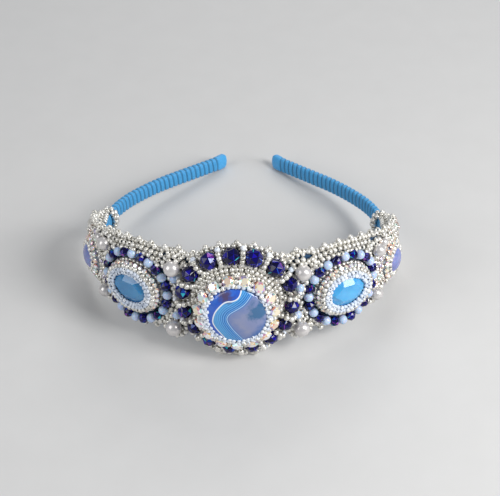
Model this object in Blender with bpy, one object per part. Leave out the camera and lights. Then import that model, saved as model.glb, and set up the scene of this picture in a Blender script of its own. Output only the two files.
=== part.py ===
"""Beaded headband: a cord-wound hoop that carries a felt band with five stone medallions.

Everything is modelled in millimetres on the hoop's own plane: u runs to the wearer's left,
v runs from the brow (negative) to the tips (positive) and w stands up the band.  At the end
the whole headband is laid down on its lowest picots and its two tips.
"""

from collections import namedtuple
from math import atan2, cos, hypot, pi, radians, sin, sqrt

import bmesh
import bpy
import numpy as np
from mathutils import Matrix, Vector

# Driving dimensions, in millimetres
MM = 0.001
GAP = 0.3
EDGE_GAP = 0.4
HOOP_HEIGHT = 7.5
HOOP_THICKNESS = 4.0
HOOP_CORNER = 1.7
BROW_DEPTH = 56.0
FELT_THICKNESS = 2.0
FELT_END = 100.0
SEED_BEAD = 2.1
PICOT_PITCH = 6.4
PICOT_HEIGHT = 1.9
COLLAR_WIDTH = 4.2

# The hoop's plan, from the middle of the brow to one tip; a radius of None is straight
Stretch = namedtuple("Stretch", "name radius length")
HOOP_PLAN = (
    Stretch("brow", 80.0, 36.3),
    Stretch("temple", 51.5, 88.1),
    Stretch("behind the ear", 110.0, 27.8),
    Stretch("tail", None, 24.0),
    Stretch("tip flare", -45.0, 10.0),
)
HOOP_HALF = sum(stretch.length for stretch in HOOP_PLAN)
FELT_BACK = HOOP_THICKNESS / 2 + GAP
FELT_FACE = FELT_BACK + FELT_THICKNESS

# How far the felt reaches above and below the hoop's middle line, along one half
FeltRow = namedtuple("FeltRow", "along above below")
FELT_OUTLINE = (
    FeltRow(0.0, 24.2, 24.0),
    FeltRow(7.0, 23.2, 23.7),
    FeltRow(13.0, 20.4, 19.2),
    FeltRow(18.0, 17.8, 16.2),
    FeltRow(25.0, 19.6, 16.4),
    FeltRow(31.0, 18.3, 14.8),
    FeltRow(37.0, 19.2, 15.6),
    FeltRow(44.0, 19.3, 16.2),
    FeltRow(52.0, 18.2, 14.0),
    FeltRow(59.0, 16.8, 12.0),
    FeltRow(67.0, 13.8, 11.2),
    FeltRow(74.0, 12.3, 11.5),
    FeltRow(82.0, 9.6, 9.0),
    FeltRow(90.0, 6.6, 6.0),
    FeltRow(FELT_END, 4.2, 4.2),
)

# A medallion's middle on the band, the hoop's radius there, the half sizes of the stone
# that shows or of the ring, the heights between which it stops following the bent felt,
# and how far it sags for each millimetre that it stands off the felt
Medallion = namedtuple("Medallion", "along up bend half_length half_height soft rigid sag")
CENTRE = Medallion(0.0, 0.0, 80.0, 12.6, 12.6, 5.0, 8.5, 0.14)
CUT_RING = Medallion(0.0, 1.2, 80.0, 23.4, 22.4, 5.0, 8.5, 0.0)
FLANK = Medallion(43.0, 0.0, 51.5, 9.0, 7.0, 2.6, 4.6, 0.0)
SIDE = Medallion(74.0, -1.0, 51.5, 5.3, 5.3, 1.5, 3.5, 0.0)

# The cut beads by clockwise turn from the top, in degrees: the largest are at the top
CutBead = namedtuple("CutBead", "turn diameter")
CUT_BEADS = (
    CutBead(17.5, 8.0), CutBead(43.5, 8.0), CutBead(71.0, 6.8), CutBead(99.5, 6.6),
    CutBead(121.5, 6.8), CutBead(143.0, 6.8), CutBead(165.0, 6.8), CutBead(188.0, 6.8),
    CutBead(210.5, 6.8), CutBead(232.0, 6.8), CutBead(253.0, 6.8), CutBead(277.5, 6.8),
    CutBead(303.0, 7.4), CutBead(330.5, 8.0), CutBead(355.0, 8.0),
)
CHATONS = 15
CHATON = 5.0
CHATON_RING = 16.0
CHATON_HEIGHT = 9.2
CHATON_LEAN = 38.0
CUP_DEPTH = 0.55
RING_BEADS = 24
RING_DARK_BEAD = 4.6
RING_PALE_BEAD = 4.1
RING_THREAD = 1.9
RING_HALF_LENGTH = 17.0
RING_HALF_HEIGHT = 15.8
SPARKS = 16
SPARK = 2.7
SPARK_OUT = 4.3
SPARK_HEIGHT = 3.7
SPARK_LEAN = 42.0

# Loose ornaments: place along the band and up it, and diameter
Ornament = namedtuple("Ornament", "name along up diameter")
PEARLS = (
    Ornament("brow_pearl_upper_left", -25.2, 14.3, 7.0),
    Ornament("brow_pearl_upper_right", 25.2, 13.2, 7.0),
    Ornament("brow_pearl_lower_left", -25.3, -15.2, 7.0),
    Ornament("brow_pearl_lower_right", 25.0, -14.4, 7.0),
    Ornament("temple_pearl_upper_left", -58.6, 13.9, 6.0),
    Ornament("temple_pearl_upper_right", 60.6, 11.4, 6.0),
    Ornament("temple_pearl_lower_left", -60.2, -10.6, 6.0),
    Ornament("temple_pearl_lower_right", 60.2, -10.4, 6.0),
    Ornament("small_pearl_left", -63.8, 14.0, 4.0),
    Ornament("small_pearl_right", 65.4, 12.4, 4.0),
)
PALE_BEADS = (
    Ornament("pale_bead_upper_left", -25.0, 8.5, 3.8),
    Ornament("pale_bead_upper_right", 24.4, 5.0, 3.8),
    Ornament("pale_bead_lower_left", -24.4, -9.4, 3.8),
    Ornament("pale_bead_lower_right", 23.6, -8.1, 3.8),
)
END_CRYSTALS = (
    Ornament("end_crystal_left", -93.0, 0.6, 4.4),
    Ornament("end_crystal_right", 93.0, 0.6, 4.4),
)


# Materials

def make_material(name, colour, roughness, metallic=0.0):
    """A Principled material with one colour, roughness and metallic value."""
    material = bpy.data.materials.new(name)
    material.use_nodes = True
    shader = material.node_tree.nodes["Principled BSDF"]
    shader.inputs["Base Color"].default_value = (*colour, 1.0)
    shader.inputs["Roughness"].default_value = roughness
    shader.inputs["Metallic"].default_value = metallic
    return material


def make_materials():
    """One material for each finish on the headband."""
    return {
        "cord": make_material("satin_cord", (0.07, 0.28, 0.58), 0.55),
        "felt": make_material("denim_felt", (0.03, 0.11, 0.24), 0.95),
        "silver": make_material("silver_beadwork", (0.60, 0.57, 0.50), 0.30, 1.0),
        "agate": make_material("blue_agate", (0.10, 0.26, 0.58), 0.12),
        "cobalt": make_material("cobalt_glass", (0.01, 0.01, 0.16), 0.08),
        "opal": make_material("pale_opal_glass", (0.45, 0.62, 0.86), 0.25),
        "sky": make_material("sky_blue_glass", (0.12, 0.42, 0.66), 0.08),
        "lilac": make_material("lilac_opal", (0.28, 0.34, 0.66), 0.15),
        "pearl": make_material("silver_pearl", (0.68, 0.67, 0.66), 0.22),
        "crystal": make_material("clear_crystal", (0.80, 0.78, 0.76), 0.06),
    }


# The hoop's line and places on the band

def hoop_point(along):
    """Place (u, v) and heading of the hoop's middle line at a signed length from the brow."""
    side = 1.0 if along >= 0 else -1.0
    left = abs(along)
    u, v, heading = 0.0, -BROW_DEPTH, 0.0
    for stretch in HOOP_PLAN:
        is_last = stretch is HOOP_PLAN[-1]
        step = left if is_last else min(left, stretch.length)
        if stretch.radius is None:
            u += step * cos(heading)
            v += step * sin(heading)
        else:
            turned = heading + step / stretch.radius
            u += stretch.radius * (sin(turned) - sin(heading))
            v += stretch.radius * (cos(heading) - cos(turned))
            heading = turned
        left -= step
        if left <= 0:
            break
    return side * u, v, side * heading


def hoop_offset(along, out, up):
    """A point `out` from the hoop's middle line and `up` from its middle plane."""
    u, v, heading = hoop_point(along)
    return Vector((u + out * sin(heading), v - out * cos(heading), up))


def on_band(along, up, height):
    """A point at a height above the felt's face."""
    return hoop_offset(along, FELT_FACE + height, up)


def settle(medallion, side, x, y, height):
    """A point of a medallion modelled flat, laid on the bent band.

    Low down the beadwork follows the bend of the felt.  From the stone's rim up it keeps
    the stone's own flat plane.
    """
    reach = medallion.bend + FELT_FACE + height
    flat_share = (height - medallion.soft) / (medallion.rigid - medallion.soft)
    flat_share = min(max(flat_share, 0.0), 1.0)
    flat_share = flat_share * flat_share * (3 - 2 * flat_share)
    bow = reach - sqrt(reach * reach - x * x)
    along = side * medallion.along + x * medallion.bend / reach
    up = medallion.up + y - medallion.sag * height
    return on_band(along, up, height + bow * flat_share)


def local_axes(medallion, side, x, y, height):
    """Place and turn at a point of a medallion: X round the ring, Y outward, Z off the felt."""
    nudge = 0.05
    here = settle(medallion, side, x, y, height)
    spread = 1 + nudge / max(hypot(x, y), nudge)
    outward = (settle(medallion, side, x * spread, y * spread, height) - here).normalized()
    off_felt = (settle(medallion, side, x, y, height + nudge) - here).normalized()
    off_felt = (off_felt - outward * off_felt.dot(outward)).normalized()
    round_ring = outward.cross(off_felt)
    turn = Matrix((round_ring, outward, off_felt)).transposed()
    return here, turn


def band_axes(along, up, height):
    """Place and turn on the band: X along it, Y up it, Z off the felt."""
    heading = hoop_point(along)[2]
    ahead = Vector((cos(heading), sin(heading), 0.0))
    above = Vector((0.0, 0.0, 1.0))
    turn = Matrix((ahead, above, ahead.cross(above))).transposed()
    return on_band(along, up, height), turn


# Mesh helpers

def finish(bm, name, material, holder, smooth=True):
    """Turn a bmesh in millimetres into an object under the holder."""
    bmesh.ops.remove_doubles(bm, verts=bm.verts, dist=0.0005)
    bmesh.ops.scale(bm, vec=(MM, MM, MM), verts=bm.verts)
    bmesh.ops.recalc_face_normals(bm, faces=bm.faces)
    mesh = bpy.data.meshes.new(name)
    bm.to_mesh(mesh)
    bm.free()
    if smooth:
        mesh.shade_smooth()
        mesh.set_sharp_from_angle(angle=radians(35))
    mesh.materials.append(material)
    return place_mesh(mesh, name, holder)


def place_mesh(mesh, name, holder, place=Vector((0, 0, 0)), turn=Matrix.Identity(3)):
    """An object with this mesh, at a place in millimetres and a turn, under the holder."""
    item = bpy.data.objects.new(name, mesh)
    bpy.context.scene.collection.objects.link(item)
    item.parent = holder
    item.location = place * MM
    item.rotation_euler = turn.to_euler()
    return item


def loft(bm, rings, closed=False):
    """Skin the rings in order, and cap the ends or join the last to the first."""
    loops = [[bm.verts.new(point) for point in ring] for ring in rings]
    follows = loops[1:] + loops[:1] if closed else loops[1:]
    for first, second in zip(loops, follows):
        for i in range(len(first)):
            bm.faces.new((first[i - 1], first[i], second[i], second[i - 1]))
    if not closed:
        bm.faces.new(loops[0])
        bm.faces.new(loops[-1])


def spin_profile(bm, profile, steps):
    """Spin a profile of (radius, height) points once round Z."""
    verts = [bm.verts.new((radius, 0.0, height)) for radius, height in profile]
    edges = [bm.edges.new(pair) for pair in zip(verts, verts[1:])]
    if profile[0][0] > 0:
        edges.append(bm.edges.new((verts[-1], verts[0])))
    bmesh.ops.spin(bm, geom=verts + edges, axis=(0, 0, 1), cent=(0, 0, 0), angle=2 * pi,
                   steps=steps, use_merge=True)
    bmesh.ops.remove_doubles(bm, verts=bm.verts, dist=0.001)


def stretch_round(bm, extra_length):
    """Pull a round shape into an oval by adding the same length to each radius along X."""
    for vert in bm.verts:
        radius = hypot(vert.co.x, vert.co.y)
        if radius > 0:
            vert.co.x *= (radius + extra_length) / radius


def oval_places(half_length, half_height, count, start=0.0):
    """Evenly spaced places (x, y) on an oval."""
    angles = np.linspace(0, 2 * pi, 721)
    x = half_length * np.cos(angles)
    y = half_height * np.sin(angles)
    travelled = np.concatenate([[0], np.cumsum(np.hypot(np.diff(x), np.diff(y)))])
    wanted = (np.arange(count) + start) / count % 1.0 * travelled[-1]
    return list(zip(np.interp(wanted, travelled, x), np.interp(wanted, travelled, y)))


# Hoop, felt, edgings and collars

def hoop_section(scale=1.0, grow=0.0):
    """Rounded rectangle (out, up) of the wound hoop, 12 points."""
    half_out = HOOP_THICKNESS / 2 * scale + grow
    half_up = HOOP_HEIGHT / 2 * scale + grow
    corner = HOOP_CORNER * scale + grow
    points = []
    for quarter in range(4):
        out_sign = 1 if quarter in (0, 3) else -1
        up_sign = 1 if quarter in (0, 1) else -1
        for step in range(3):
            angle = quarter * pi / 2 + step * pi / 4
            points.append((out_sign * (half_out - corner) + corner * cos(angle),
                           up_sign * (half_up - corner) + corner * sin(angle)))
    return points


def hoop_stations():
    """Lengths and scales of the hoop's sections from one tip to the other."""
    coarse, fine = 8.0, 5.0
    half = [(coarse / 2, 1.0)]
    while half[-1][0] < HOOP_HALF - 2 * fine:
        step = coarse if half[-1][0] < FELT_END else fine
        half.append((half[-1][0] + step, 1.0))
    for from_end, scale in ((2.4, 1.0), (1.0, 0.86), (0.0, 0.45)):
        half.append((HOOP_HALF - from_end, scale))
    return [(-along, scale) for along, scale in reversed(half)] + half


def build_hoop(materials, holder):
    """The band that grips the head, wound with cord from tip to tip."""
    bm = bmesh.new()
    rings = []
    for along, scale in hoop_stations():
        rings.append([hoop_offset(along, out, up) for out, up in hoop_section(scale)])
    loft(bm, rings)
    return finish(bm, "wrapped_hoop", materials["cord"], holder)


def felt_reach(along, above):
    """Height of the felt's edge over the middle line, by a smooth curve through the rows."""
    rows = FELT_OUTLINE
    length = min(abs(along), FELT_END)
    places = [row.along for row in rows]
    heights = [row.above if above else row.below for row in rows]
    index = min(int(np.searchsorted(places, length, side="right")) - 1, len(rows) - 2)
    slopes = [0.0]
    for i in range(1, len(rows) - 1):
        slopes.append((heights[i + 1] - heights[i - 1]) / (places[i + 1] - places[i - 1]))
    slopes.append((heights[-1] - heights[-2]) / (places[-1] - places[-2]))
    width = places[index + 1] - places[index]
    t = (length - places[index]) / width
    start = (2 * t ** 3 - 3 * t ** 2 + 1) * heights[index]
    start += (t ** 3 - 2 * t ** 2 + t) * width * slopes[index]
    end = (3 * t ** 2 - 2 * t ** 3) * heights[index + 1]
    end += (t ** 3 - t ** 2) * width * slopes[index + 1]
    return start + end


def build_felt(materials, holder):
    """The felt that the beads are sewn to, a thin wall outside the hoop."""
    spacing = 3.2
    half = [spacing * (i + 0.5) for i in range(int(FELT_END / spacing))] + [FELT_END]
    rings = []
    for along in [-place for place in reversed(half)] + half:
        top = felt_reach(along, True)
        bottom = -felt_reach(along, False)
        rings.append([
            on_band(along, bottom, -FELT_THICKNESS), on_band(along, top, -FELT_THICKNESS),
            on_band(along, top, 0.0), on_band(along, bottom, 0.0),
        ])
    bm = bmesh.new()
    loft(bm, rings)
    return finish(bm, "felt_backing", materials["felt"], holder, smooth=False)


def outline_path(above, step):
    """Places (along, up) on the felt's edge a step apart, end to end, through the middle."""
    sign = 1 if above else -1
    short_of_end = 0.5
    lengths = np.linspace(0, FELT_END - short_of_end, 900)
    heights = np.array([sign * felt_reach(length, above) for length in lengths])
    bend = np.where(lengths < HOOP_PLAN[0].length, HOOP_PLAN[0].radius, HOOP_PLAN[1].radius)
    surface = (bend + FELT_FACE) / bend
    travelled = np.hypot(np.diff(lengths) * surface[1:], np.diff(heights))
    travelled = np.concatenate([[0], np.cumsum(travelled)])
    count = int(travelled[-1] / step)
    wanted = np.arange(count + 1) * step
    half = list(zip(np.interp(wanted, travelled, lengths), np.interp(wanted, travelled, heights)))
    return [(-along, up) for along, up in reversed(half[1:])] + half


def edge_offset(path, index, distance, above):
    """A place of the path moved away from the felt, square to its edge."""
    before = path[max(index - 1, 0)]
    after = path[min(index + 1, len(path) - 1)]
    bend = HOOP_PLAN[0].radius if abs(path[index][0]) < HOOP_PLAN[0].length else HOOP_PLAN[1].radius
    surface = (bend + FELT_FACE) / bend
    run = (after[0] - before[0]) * surface
    rise = after[1] - before[1]
    length = hypot(run, rise)
    sign = 1 if above else -1
    along = path[index][0] - sign * rise / length * distance / surface
    return along, path[index][1] + sign * run / length * distance


def build_edging(name, above, materials, holder):
    """The row of seed beads along the felt's edge, with its three-bead picots as teeth."""
    path = outline_path(above, PICOT_PITCH / 4)
    middle = len(path) // 2
    low = -FELT_THICKNESS
    high = low + SEED_BEAD
    rings = []
    for index in range(len(path)):
        on_tooth = abs(index - middle) % 4 in (0, 1)
        tooth = PICOT_HEIGHT if on_tooth else 0.0
        inner = edge_offset(path, index, EDGE_GAP, above)
        outer = edge_offset(path, index, EDGE_GAP + SEED_BEAD + tooth, above)
        rings.append([on_band(*inner, low), on_band(*outer, low),
                      on_band(*outer, high), on_band(*inner, high)])
    bm = bmesh.new()
    loft(bm, rings)
    return finish(bm, name, materials["silver"], holder, smooth=False)


def build_collar(name, side, materials, holder):
    """Two rows of seed beads round the hoop where the felt ends."""
    start = FELT_END + GAP
    rings = []
    for along in (start, start + COLLAR_WIDTH):
        rings.append([hoop_offset(side * along, out, up)
                      for out, up in hoop_section(grow=GAP + SEED_BEAD)])
    for along in (start + COLLAR_WIDTH, start):
        rings.append([hoop_offset(side * along, out, up) for out, up in hoop_section(grow=GAP)])
    bm = bmesh.new()
    loft(bm, rings, closed=True)
    return finish(bm, name, materials["silver"], holder, smooth=False)


# Stones and beads

def cut_bead_mesh(diameter, material):
    """A fire-polished bead: two flat ends, and three rows of facets round the thread."""
    radius = diameter / 2
    rows = ((-0.90, 0.42), (-0.33, 0.95), (0.33, 0.95), (0.90, 0.42))
    sides = 10
    bm = bmesh.new()
    rings = []
    for number, (along, out) in enumerate(rows):
        shift = 0.5 * (number % 2)
        rings.append([(along * radius, out * radius * cos(2 * pi * (i + shift) / sides),
                       out * radius * sin(2 * pi * (i + shift) / sides)) for i in range(sides)])
    loft(bm, rings)
    bmesh.ops.triangulate(bm, faces=bm.faces, quad_method="SHORT_EDGE")
    return mesh_only(bm, "cut_bead", material, smooth=False)


def round_bead_mesh(name, diameter, material):
    """A round bead or pearl with ten sides."""
    bm = bmesh.new()
    bmesh.ops.create_uvsphere(bm, u_segments=10, v_segments=6, radius=diameter / 2)
    return mesh_only(bm, name, material, smooth=True)


def chaton_shape(bm, diameter, place, turn):
    """A cut stone in its cup: a table, eight crown facets, a girdle and eight below."""
    radius = diameter / 2
    sides = 8
    levels = ((-CUP_DEPTH, 0.80), (0.0, 1.0), (0.50, 0.56))
    rings = []
    for level, out in levels:
        ring = []
        for i in range(sides):
            angle = 2 * pi * (i + 0.5) / sides
            point = Vector((out * radius * cos(angle), out * radius * sin(angle), level * radius))
            ring.append(place + turn @ point)
        rings.append(ring)
    loft(bm, rings)


def mesh_only(bm, name, material, smooth):
    """A mesh that several objects share."""
    bmesh.ops.scale(bm, vec=(MM, MM, MM), verts=bm.verts)
    bmesh.ops.recalc_face_normals(bm, faces=bm.faces)
    mesh = bpy.data.meshes.new(name)
    bm.to_mesh(mesh)
    bm.free()
    if smooth:
        mesh.shade_smooth()
    mesh.materials.append(material)
    return mesh


def build_agate(materials, holder):
    """The brow stone, a domed round of banded agate."""
    profile = ((0.0, GAP), (14.2, GAP), (14.2, 7.4), (13.6, 8.8), (12.5, 9.9), (10.2, 11.1),
               (6.8, 12.1), (3.4, 12.6), (0.0, 12.8))
    bm = bmesh.new()
    spin_profile(bm, profile, steps=28)
    for vert in bm.verts:
        vert.co.y -= CENTRE.sag * vert.co.z
    mesh = mesh_only(bm, "agate", materials["agate"], smooth=True)
    mesh.set_sharp_from_angle(angle=radians(50))
    place, turn = band_axes(CENTRE.along, CENTRE.up, 0.0)
    return place_mesh(mesh, "agate_cabochon", holder, place, turn)


def build_flank_stone(name, side, materials, holder):
    """An oval stone with a pointed table, cut in sixteen."""
    sides = 16
    levels = ((GAP, -0.6, -0.6), (3.6, 0.8, 0.8), (4.5, 0.8, 0.8), (5.9, -1.0, -1.3),
              (6.8, -2.6, -3.3))
    rings = []
    for height, extra_length, extra_height in levels:
        ring = []
        for i in range(sides):
            angle = 2 * pi * i / sides
            ring.append(((FLANK.half_length + extra_length) * cos(angle),
                         (FLANK.half_height + extra_height) * sin(angle), height))
        rings.append(ring)
    bm = bmesh.new()
    loft(bm, rings)
    mesh = mesh_only(bm, name, materials["sky"], smooth=False)
    place, turn = band_axes(side * FLANK.along, FLANK.up, 0.0)
    return place_mesh(mesh, name, holder, place, turn)


def build_side_stone(name, side, materials, holder):
    """A small domed round of lilac opal."""
    profile = ((0.0, GAP), (5.9, GAP), (5.9, 3.2), (5.3, 4.5), (4.0, 5.6), (2.1, 6.3), (0.0, 6.5))
    bm = bmesh.new()
    spin_profile(bm, profile, steps=18)
    mesh = mesh_only(bm, name, materials["lilac"], smooth=True)
    mesh.set_sharp_from_angle(angle=radians(50))
    place, turn = band_axes(side * SIDE.along, SIDE.up, 0.0)
    return place_mesh(mesh, name, holder, place, turn)


# Beaded settings

def lay_on_band(bm, medallion, side):
    """Lay a flat-modelled ring on the bent band."""
    for vert in bm.verts:
        vert.co = settle(medallion, side, *vert.co)


def fuse(item, bm, name, holder):
    """Unite loose stones with their setting."""
    stones = finish(bm, name, item.data.materials[0], holder, smooth=False)
    stones.hide_render = True
    stones.display_type = "WIRE"
    union = item.modifiers.new("stones", "BOOLEAN")
    union.operation = "UNION"
    union.solver = "EXACT"
    union.object = stones


def build_centre_bezel(materials, holder):
    """The steep beaded wall round the agate, with fifteen cut stones on its shoulder."""
    profile = ((17.2, GAP), (17.1, 6.4), (16.6, 8.6), (14.9, 10.6), (13.9, 10.9), (13.1, 10.2),
               (14.6, 8.2), (14.6, GAP))
    bm = bmesh.new()
    spin_profile(bm, profile, steps=30)
    lay_on_band(bm, CENTRE, 1)
    bezel = finish(bm, "rhinestone_bezel", materials["silver"], holder, smooth=False)
    stones = bmesh.new()
    for x, y in oval_places(CHATON_RING, CHATON_RING, CHATONS, 0.25):
        place, turn = local_axes(CENTRE, 1, x, y, CHATON_HEIGHT)
        chaton_shape(stones, CHATON, place, turn @ Matrix.Rotation(-radians(CHATON_LEAN), 3, "X"))
    fuse(bezel, stones, "centre_chatons", holder)
    return bezel


def build_flank_bezel(name, side, materials, holder):
    """The beaded wall round an oval stone, with sixteen small cut stones on its slope."""
    half_height = FLANK.half_height
    profile = ((5.3, GAP), (4.7, 2.8), (3.1, 5.2), (1.3, 6.3), (0.4, 5.8), (1.1, 4.7), (1.1, GAP))
    bm = bmesh.new()
    spin_profile(bm, [(half_height + out, height) for out, height in profile], steps=32)
    stretch_round(bm, FLANK.half_length - FLANK.half_height)
    lay_on_band(bm, FLANK, side)
    bezel = finish(bm, name, materials["silver"], holder, smooth=False)
    stones = bmesh.new()
    places = oval_places(FLANK.half_length + SPARK_OUT, half_height + SPARK_OUT, SPARKS, 0.5)
    for x, y in places:
        place, turn = local_axes(FLANK, side, x, y, SPARK_HEIGHT)
        chaton_shape(stones, SPARK, place, turn @ Matrix.Rotation(-radians(SPARK_LEAN), 3, "X"))
    fuse(bezel, stones, name + "_sparks", holder)
    return bezel


def build_side_bezel(name, side, materials, holder):
    """The round beaded wall of a side stone."""
    profile = ((10.0, GAP), (9.6, 2.0), (8.0, 4.2), (6.7, 5.3), (5.8, 5.0), (6.3, 3.9), (6.3, GAP))
    bm = bmesh.new()
    spin_profile(bm, profile, steps=24)
    lay_on_band(bm, SIDE, side)
    return finish(bm, name, materials["silver"], holder, smooth=False)


def build_bead_ring(name, side, materials, holder):
    """A string of dark cut beads and pale round ones, turn about, round a flank medallion."""
    sides = 10
    per_bead = 3
    swell = (RING_THREAD / 2, None, None)
    middle_height = RING_DARK_BEAD / 2 + GAP
    path = oval_places(RING_HALF_LENGTH, RING_HALF_HEIGHT, RING_BEADS * per_bead, 1.5)
    rings = []
    for number, (x, y) in enumerate(path):
        dark = (number // per_bead) % 2 == 0
        full = RING_DARK_BEAD / 2 if dark else RING_PALE_BEAD / 2
        radius = swell[number % per_bead] or full
        before = path[number - 1]
        after = path[(number + 1) % len(path)]
        heading = atan2(after[1] - before[1], after[0] - before[0])
        ring = []
        for i in range(sides):
            angle = 2 * pi * (i + 0.5) / sides
            out = radius * cos(angle)
            ring.append(settle(FLANK, side, x + out * sin(heading), y - out * cos(heading),
                               middle_height + radius * sin(angle)))
        rings.append(ring)
    bm = bmesh.new()
    loft(bm, rings, closed=True)
    return finish(bm, name, materials["cobalt"], holder, smooth=False)


def build_cut_beads(materials, holder):
    """Fifteen dark cut beads in a ring round the brow medallion, one mesh for each size."""
    meshes = {}
    beads = []
    for number, bead in enumerate(CUT_BEADS):
        if bead.diameter not in meshes:
            meshes[bead.diameter] = cut_bead_mesh(bead.diameter, materials["cobalt"])
        angle = radians(90 - bead.turn)
        x = CUT_RING.half_length * cos(angle)
        y = CUT_RING.half_height * sin(angle)
        place, turn = local_axes(CUT_RING, 1, x, y, bead.diameter / 2 + GAP)
        name = f"cut_bead_{number + 1:02d}"
        beads.append(place_mesh(meshes[bead.diameter], name, holder, place, turn))
    return beads


def build_round_beads(ornaments, material, holder):
    """The pearls or the pale beads, one mesh for each size."""
    meshes = {}
    items = []
    for bead in ornaments:
        if bead.diameter not in meshes:
            meshes[bead.diameter] = round_bead_mesh(bead.name, bead.diameter, material)
        place, turn = band_axes(bead.along, bead.up, bead.diameter / 2 + GAP)
        items.append(place_mesh(meshes[bead.diameter], bead.name, holder, place, turn))
    return items


def build_end_crystals(materials, holder):
    """A small cut stone near each end of the felt."""
    items = []
    for stone in END_CRYSTALS:
        bm = bmesh.new()
        chaton_shape(bm, stone.diameter, Vector((0, 0, 0)), Matrix.Identity(3))
        mesh = mesh_only(bm, stone.name, materials["crystal"], smooth=False)
        seat = CUP_DEPTH * stone.diameter / 2 + GAP
        place, turn = band_axes(stone.along, stone.up, seat)
        items.append(place_mesh(mesh, stone.name, holder, place, turn))
    return items


# Laying the headband down

def all_points(items):
    """Every corner of the built pieces, in the hoop's frame, in metres."""
    bpy.context.view_layer.update()
    graph = bpy.context.evaluated_depsgraph_get()
    points = []
    for item in items:
        mesh = item.evaluated_get(graph).data
        flat = np.empty(len(mesh.vertices) * 3)
        mesh.vertices.foreach_get("co", flat)
        turn = np.array(item.matrix_local)
        points.append(flat.reshape(-1, 3) @ turn[:3, :3].T + turn[:3, 3])
    return np.concatenate(points)


def rest_tilt(points):
    """Tilt at which the lowest point of the front and the lowest of the tails lie level."""
    tilt = radians(10)
    front = points[points[:, 1] < 0]
    tails = points[points[:, 1] > 0]
    for _ in range(6):
        low_front = front[np.argmin(front[:, 2] * cos(tilt) - front[:, 1] * sin(tilt))]
        low_tail = tails[np.argmin(tails[:, 2] * cos(tilt) - tails[:, 1] * sin(tilt))]
        tilt = atan2(low_tail[2] - low_front[2], low_tail[1] - low_front[1])
    return tilt


def lay_down(holder, items):
    """Rest the headband on z = 0, with the origin under the middle of its box."""
    points = all_points(items)
    tilt = rest_tilt(points)
    back = points[:, 1] * cos(tilt) + points[:, 2] * sin(tilt)
    height = points[:, 2] * cos(tilt) - points[:, 1] * sin(tilt)
    holder.rotation_euler = (-tilt, 0.0, 0.0)
    holder.location = (0.0, -(back.min() + back.max()) / 2, -height.min())


def main():
    for item in list(bpy.data.objects):
        bpy.data.objects.remove(item)
    holder = bpy.data.objects.new("hoop_plane", None)
    bpy.context.scene.collection.objects.link(holder)
    materials = make_materials()
    items = [
        build_hoop(materials, holder),
        build_felt(materials, holder),
        build_edging("upper_edging", True, materials, holder),
        build_edging("lower_edging", False, materials, holder),
        build_agate(materials, holder),
        build_centre_bezel(materials, holder),
    ]
    for side, word in ((-1, "left"), (1, "right")):
        items.append(build_collar(f"end_collar_{word}", side, materials, holder))
        items.append(build_flank_stone(f"flank_stone_{word}", side, materials, holder))
        items.append(build_flank_bezel(f"flank_bezel_{word}", side, materials, holder))
        items.append(build_bead_ring(f"flank_bead_ring_{word}", side, materials, holder))
        items.append(build_side_stone(f"side_stone_{word}", side, materials, holder))
        items.append(build_side_bezel(f"side_bezel_{word}", side, materials, holder))
    items += build_cut_beads(materials, holder)
    items += build_round_beads(PEARLS, materials["pearl"], holder)
    items += build_round_beads(PALE_BEADS, materials["opal"], holder)
    items += build_end_crystals(materials, holder)
    lay_down(holder, items)


main()
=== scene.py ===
"""The looks of a beaded headband: wound satin cord, felt, seed beads, cut stones and pearls.

Shapes are modelled in millimetres on the hoop's own plane.  "along" is the length along the
hoop from the middle of the brow, "up" is the height on the band, and "height" stands off the
felt's face.  hoop_plane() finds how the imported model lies, and every piece is laid on it.
"""

from collections import namedtuple
from math import atan2, cos, hypot, pi, radians, sin, sqrt

import bmesh
import bpy
import numpy as np
from bpy.props import FloatProperty, FloatVectorProperty, PointerProperty
from bpy.types import Operator, Panel, PropertyGroup
from mathutils import Euler, Matrix, Vector


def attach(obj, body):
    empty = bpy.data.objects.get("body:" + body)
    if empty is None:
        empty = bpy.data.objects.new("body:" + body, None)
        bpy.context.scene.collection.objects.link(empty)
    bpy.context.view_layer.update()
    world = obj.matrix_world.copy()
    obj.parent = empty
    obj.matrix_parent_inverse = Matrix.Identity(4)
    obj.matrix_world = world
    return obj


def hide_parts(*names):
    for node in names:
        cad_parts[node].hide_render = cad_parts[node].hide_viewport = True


bl_info = {
    "name": "Beaded headband",
    "version": (1, 0, 0),
    "blender": (4, 5, 0),
    "location": "3D View > Sidebar > Headband",
    "description": "Dresses a headband in wound cord, felt, seed beads, stones and pearls",
    "category": "Object",
}

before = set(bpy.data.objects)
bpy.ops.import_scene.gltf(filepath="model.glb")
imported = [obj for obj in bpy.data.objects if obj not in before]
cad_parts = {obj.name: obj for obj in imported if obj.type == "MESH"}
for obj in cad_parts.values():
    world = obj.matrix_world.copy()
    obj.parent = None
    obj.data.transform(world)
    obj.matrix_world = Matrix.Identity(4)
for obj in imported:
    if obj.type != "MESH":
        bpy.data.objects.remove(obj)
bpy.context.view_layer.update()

# Driving dimensions of the band, in millimetres
MM = 0.001
GAP = 0.3
HOOP_HEIGHT = 7.5
HOOP_THICKNESS = 4.0
HOOP_CORNER = 1.7
BROW_DEPTH = 56.0
FELT_THICKNESS = 2.0
FELT_END = 100.0
PICOT_PITCH = 6.4
WELD = 0.0005

# The two halves of the band, as the sign of "along" and the word in their names
SIDES = ((-1, "left"), (1, "right"))

Stretch = namedtuple("Stretch", "name radius length")
HOOP_PLAN = (
    Stretch("brow", 80.0, 36.3),
    Stretch("temple", 51.5, 88.1),
    Stretch("behind the ear", 110.0, 27.8),
    Stretch("tail", None, 24.0),
    Stretch("tip flare", -45.0, 10.0),
)
HOOP_HALF = sum(stretch.length for stretch in HOOP_PLAN)
FELT_FACE = HOOP_THICKNESS / 2 + GAP + FELT_THICKNESS

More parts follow.
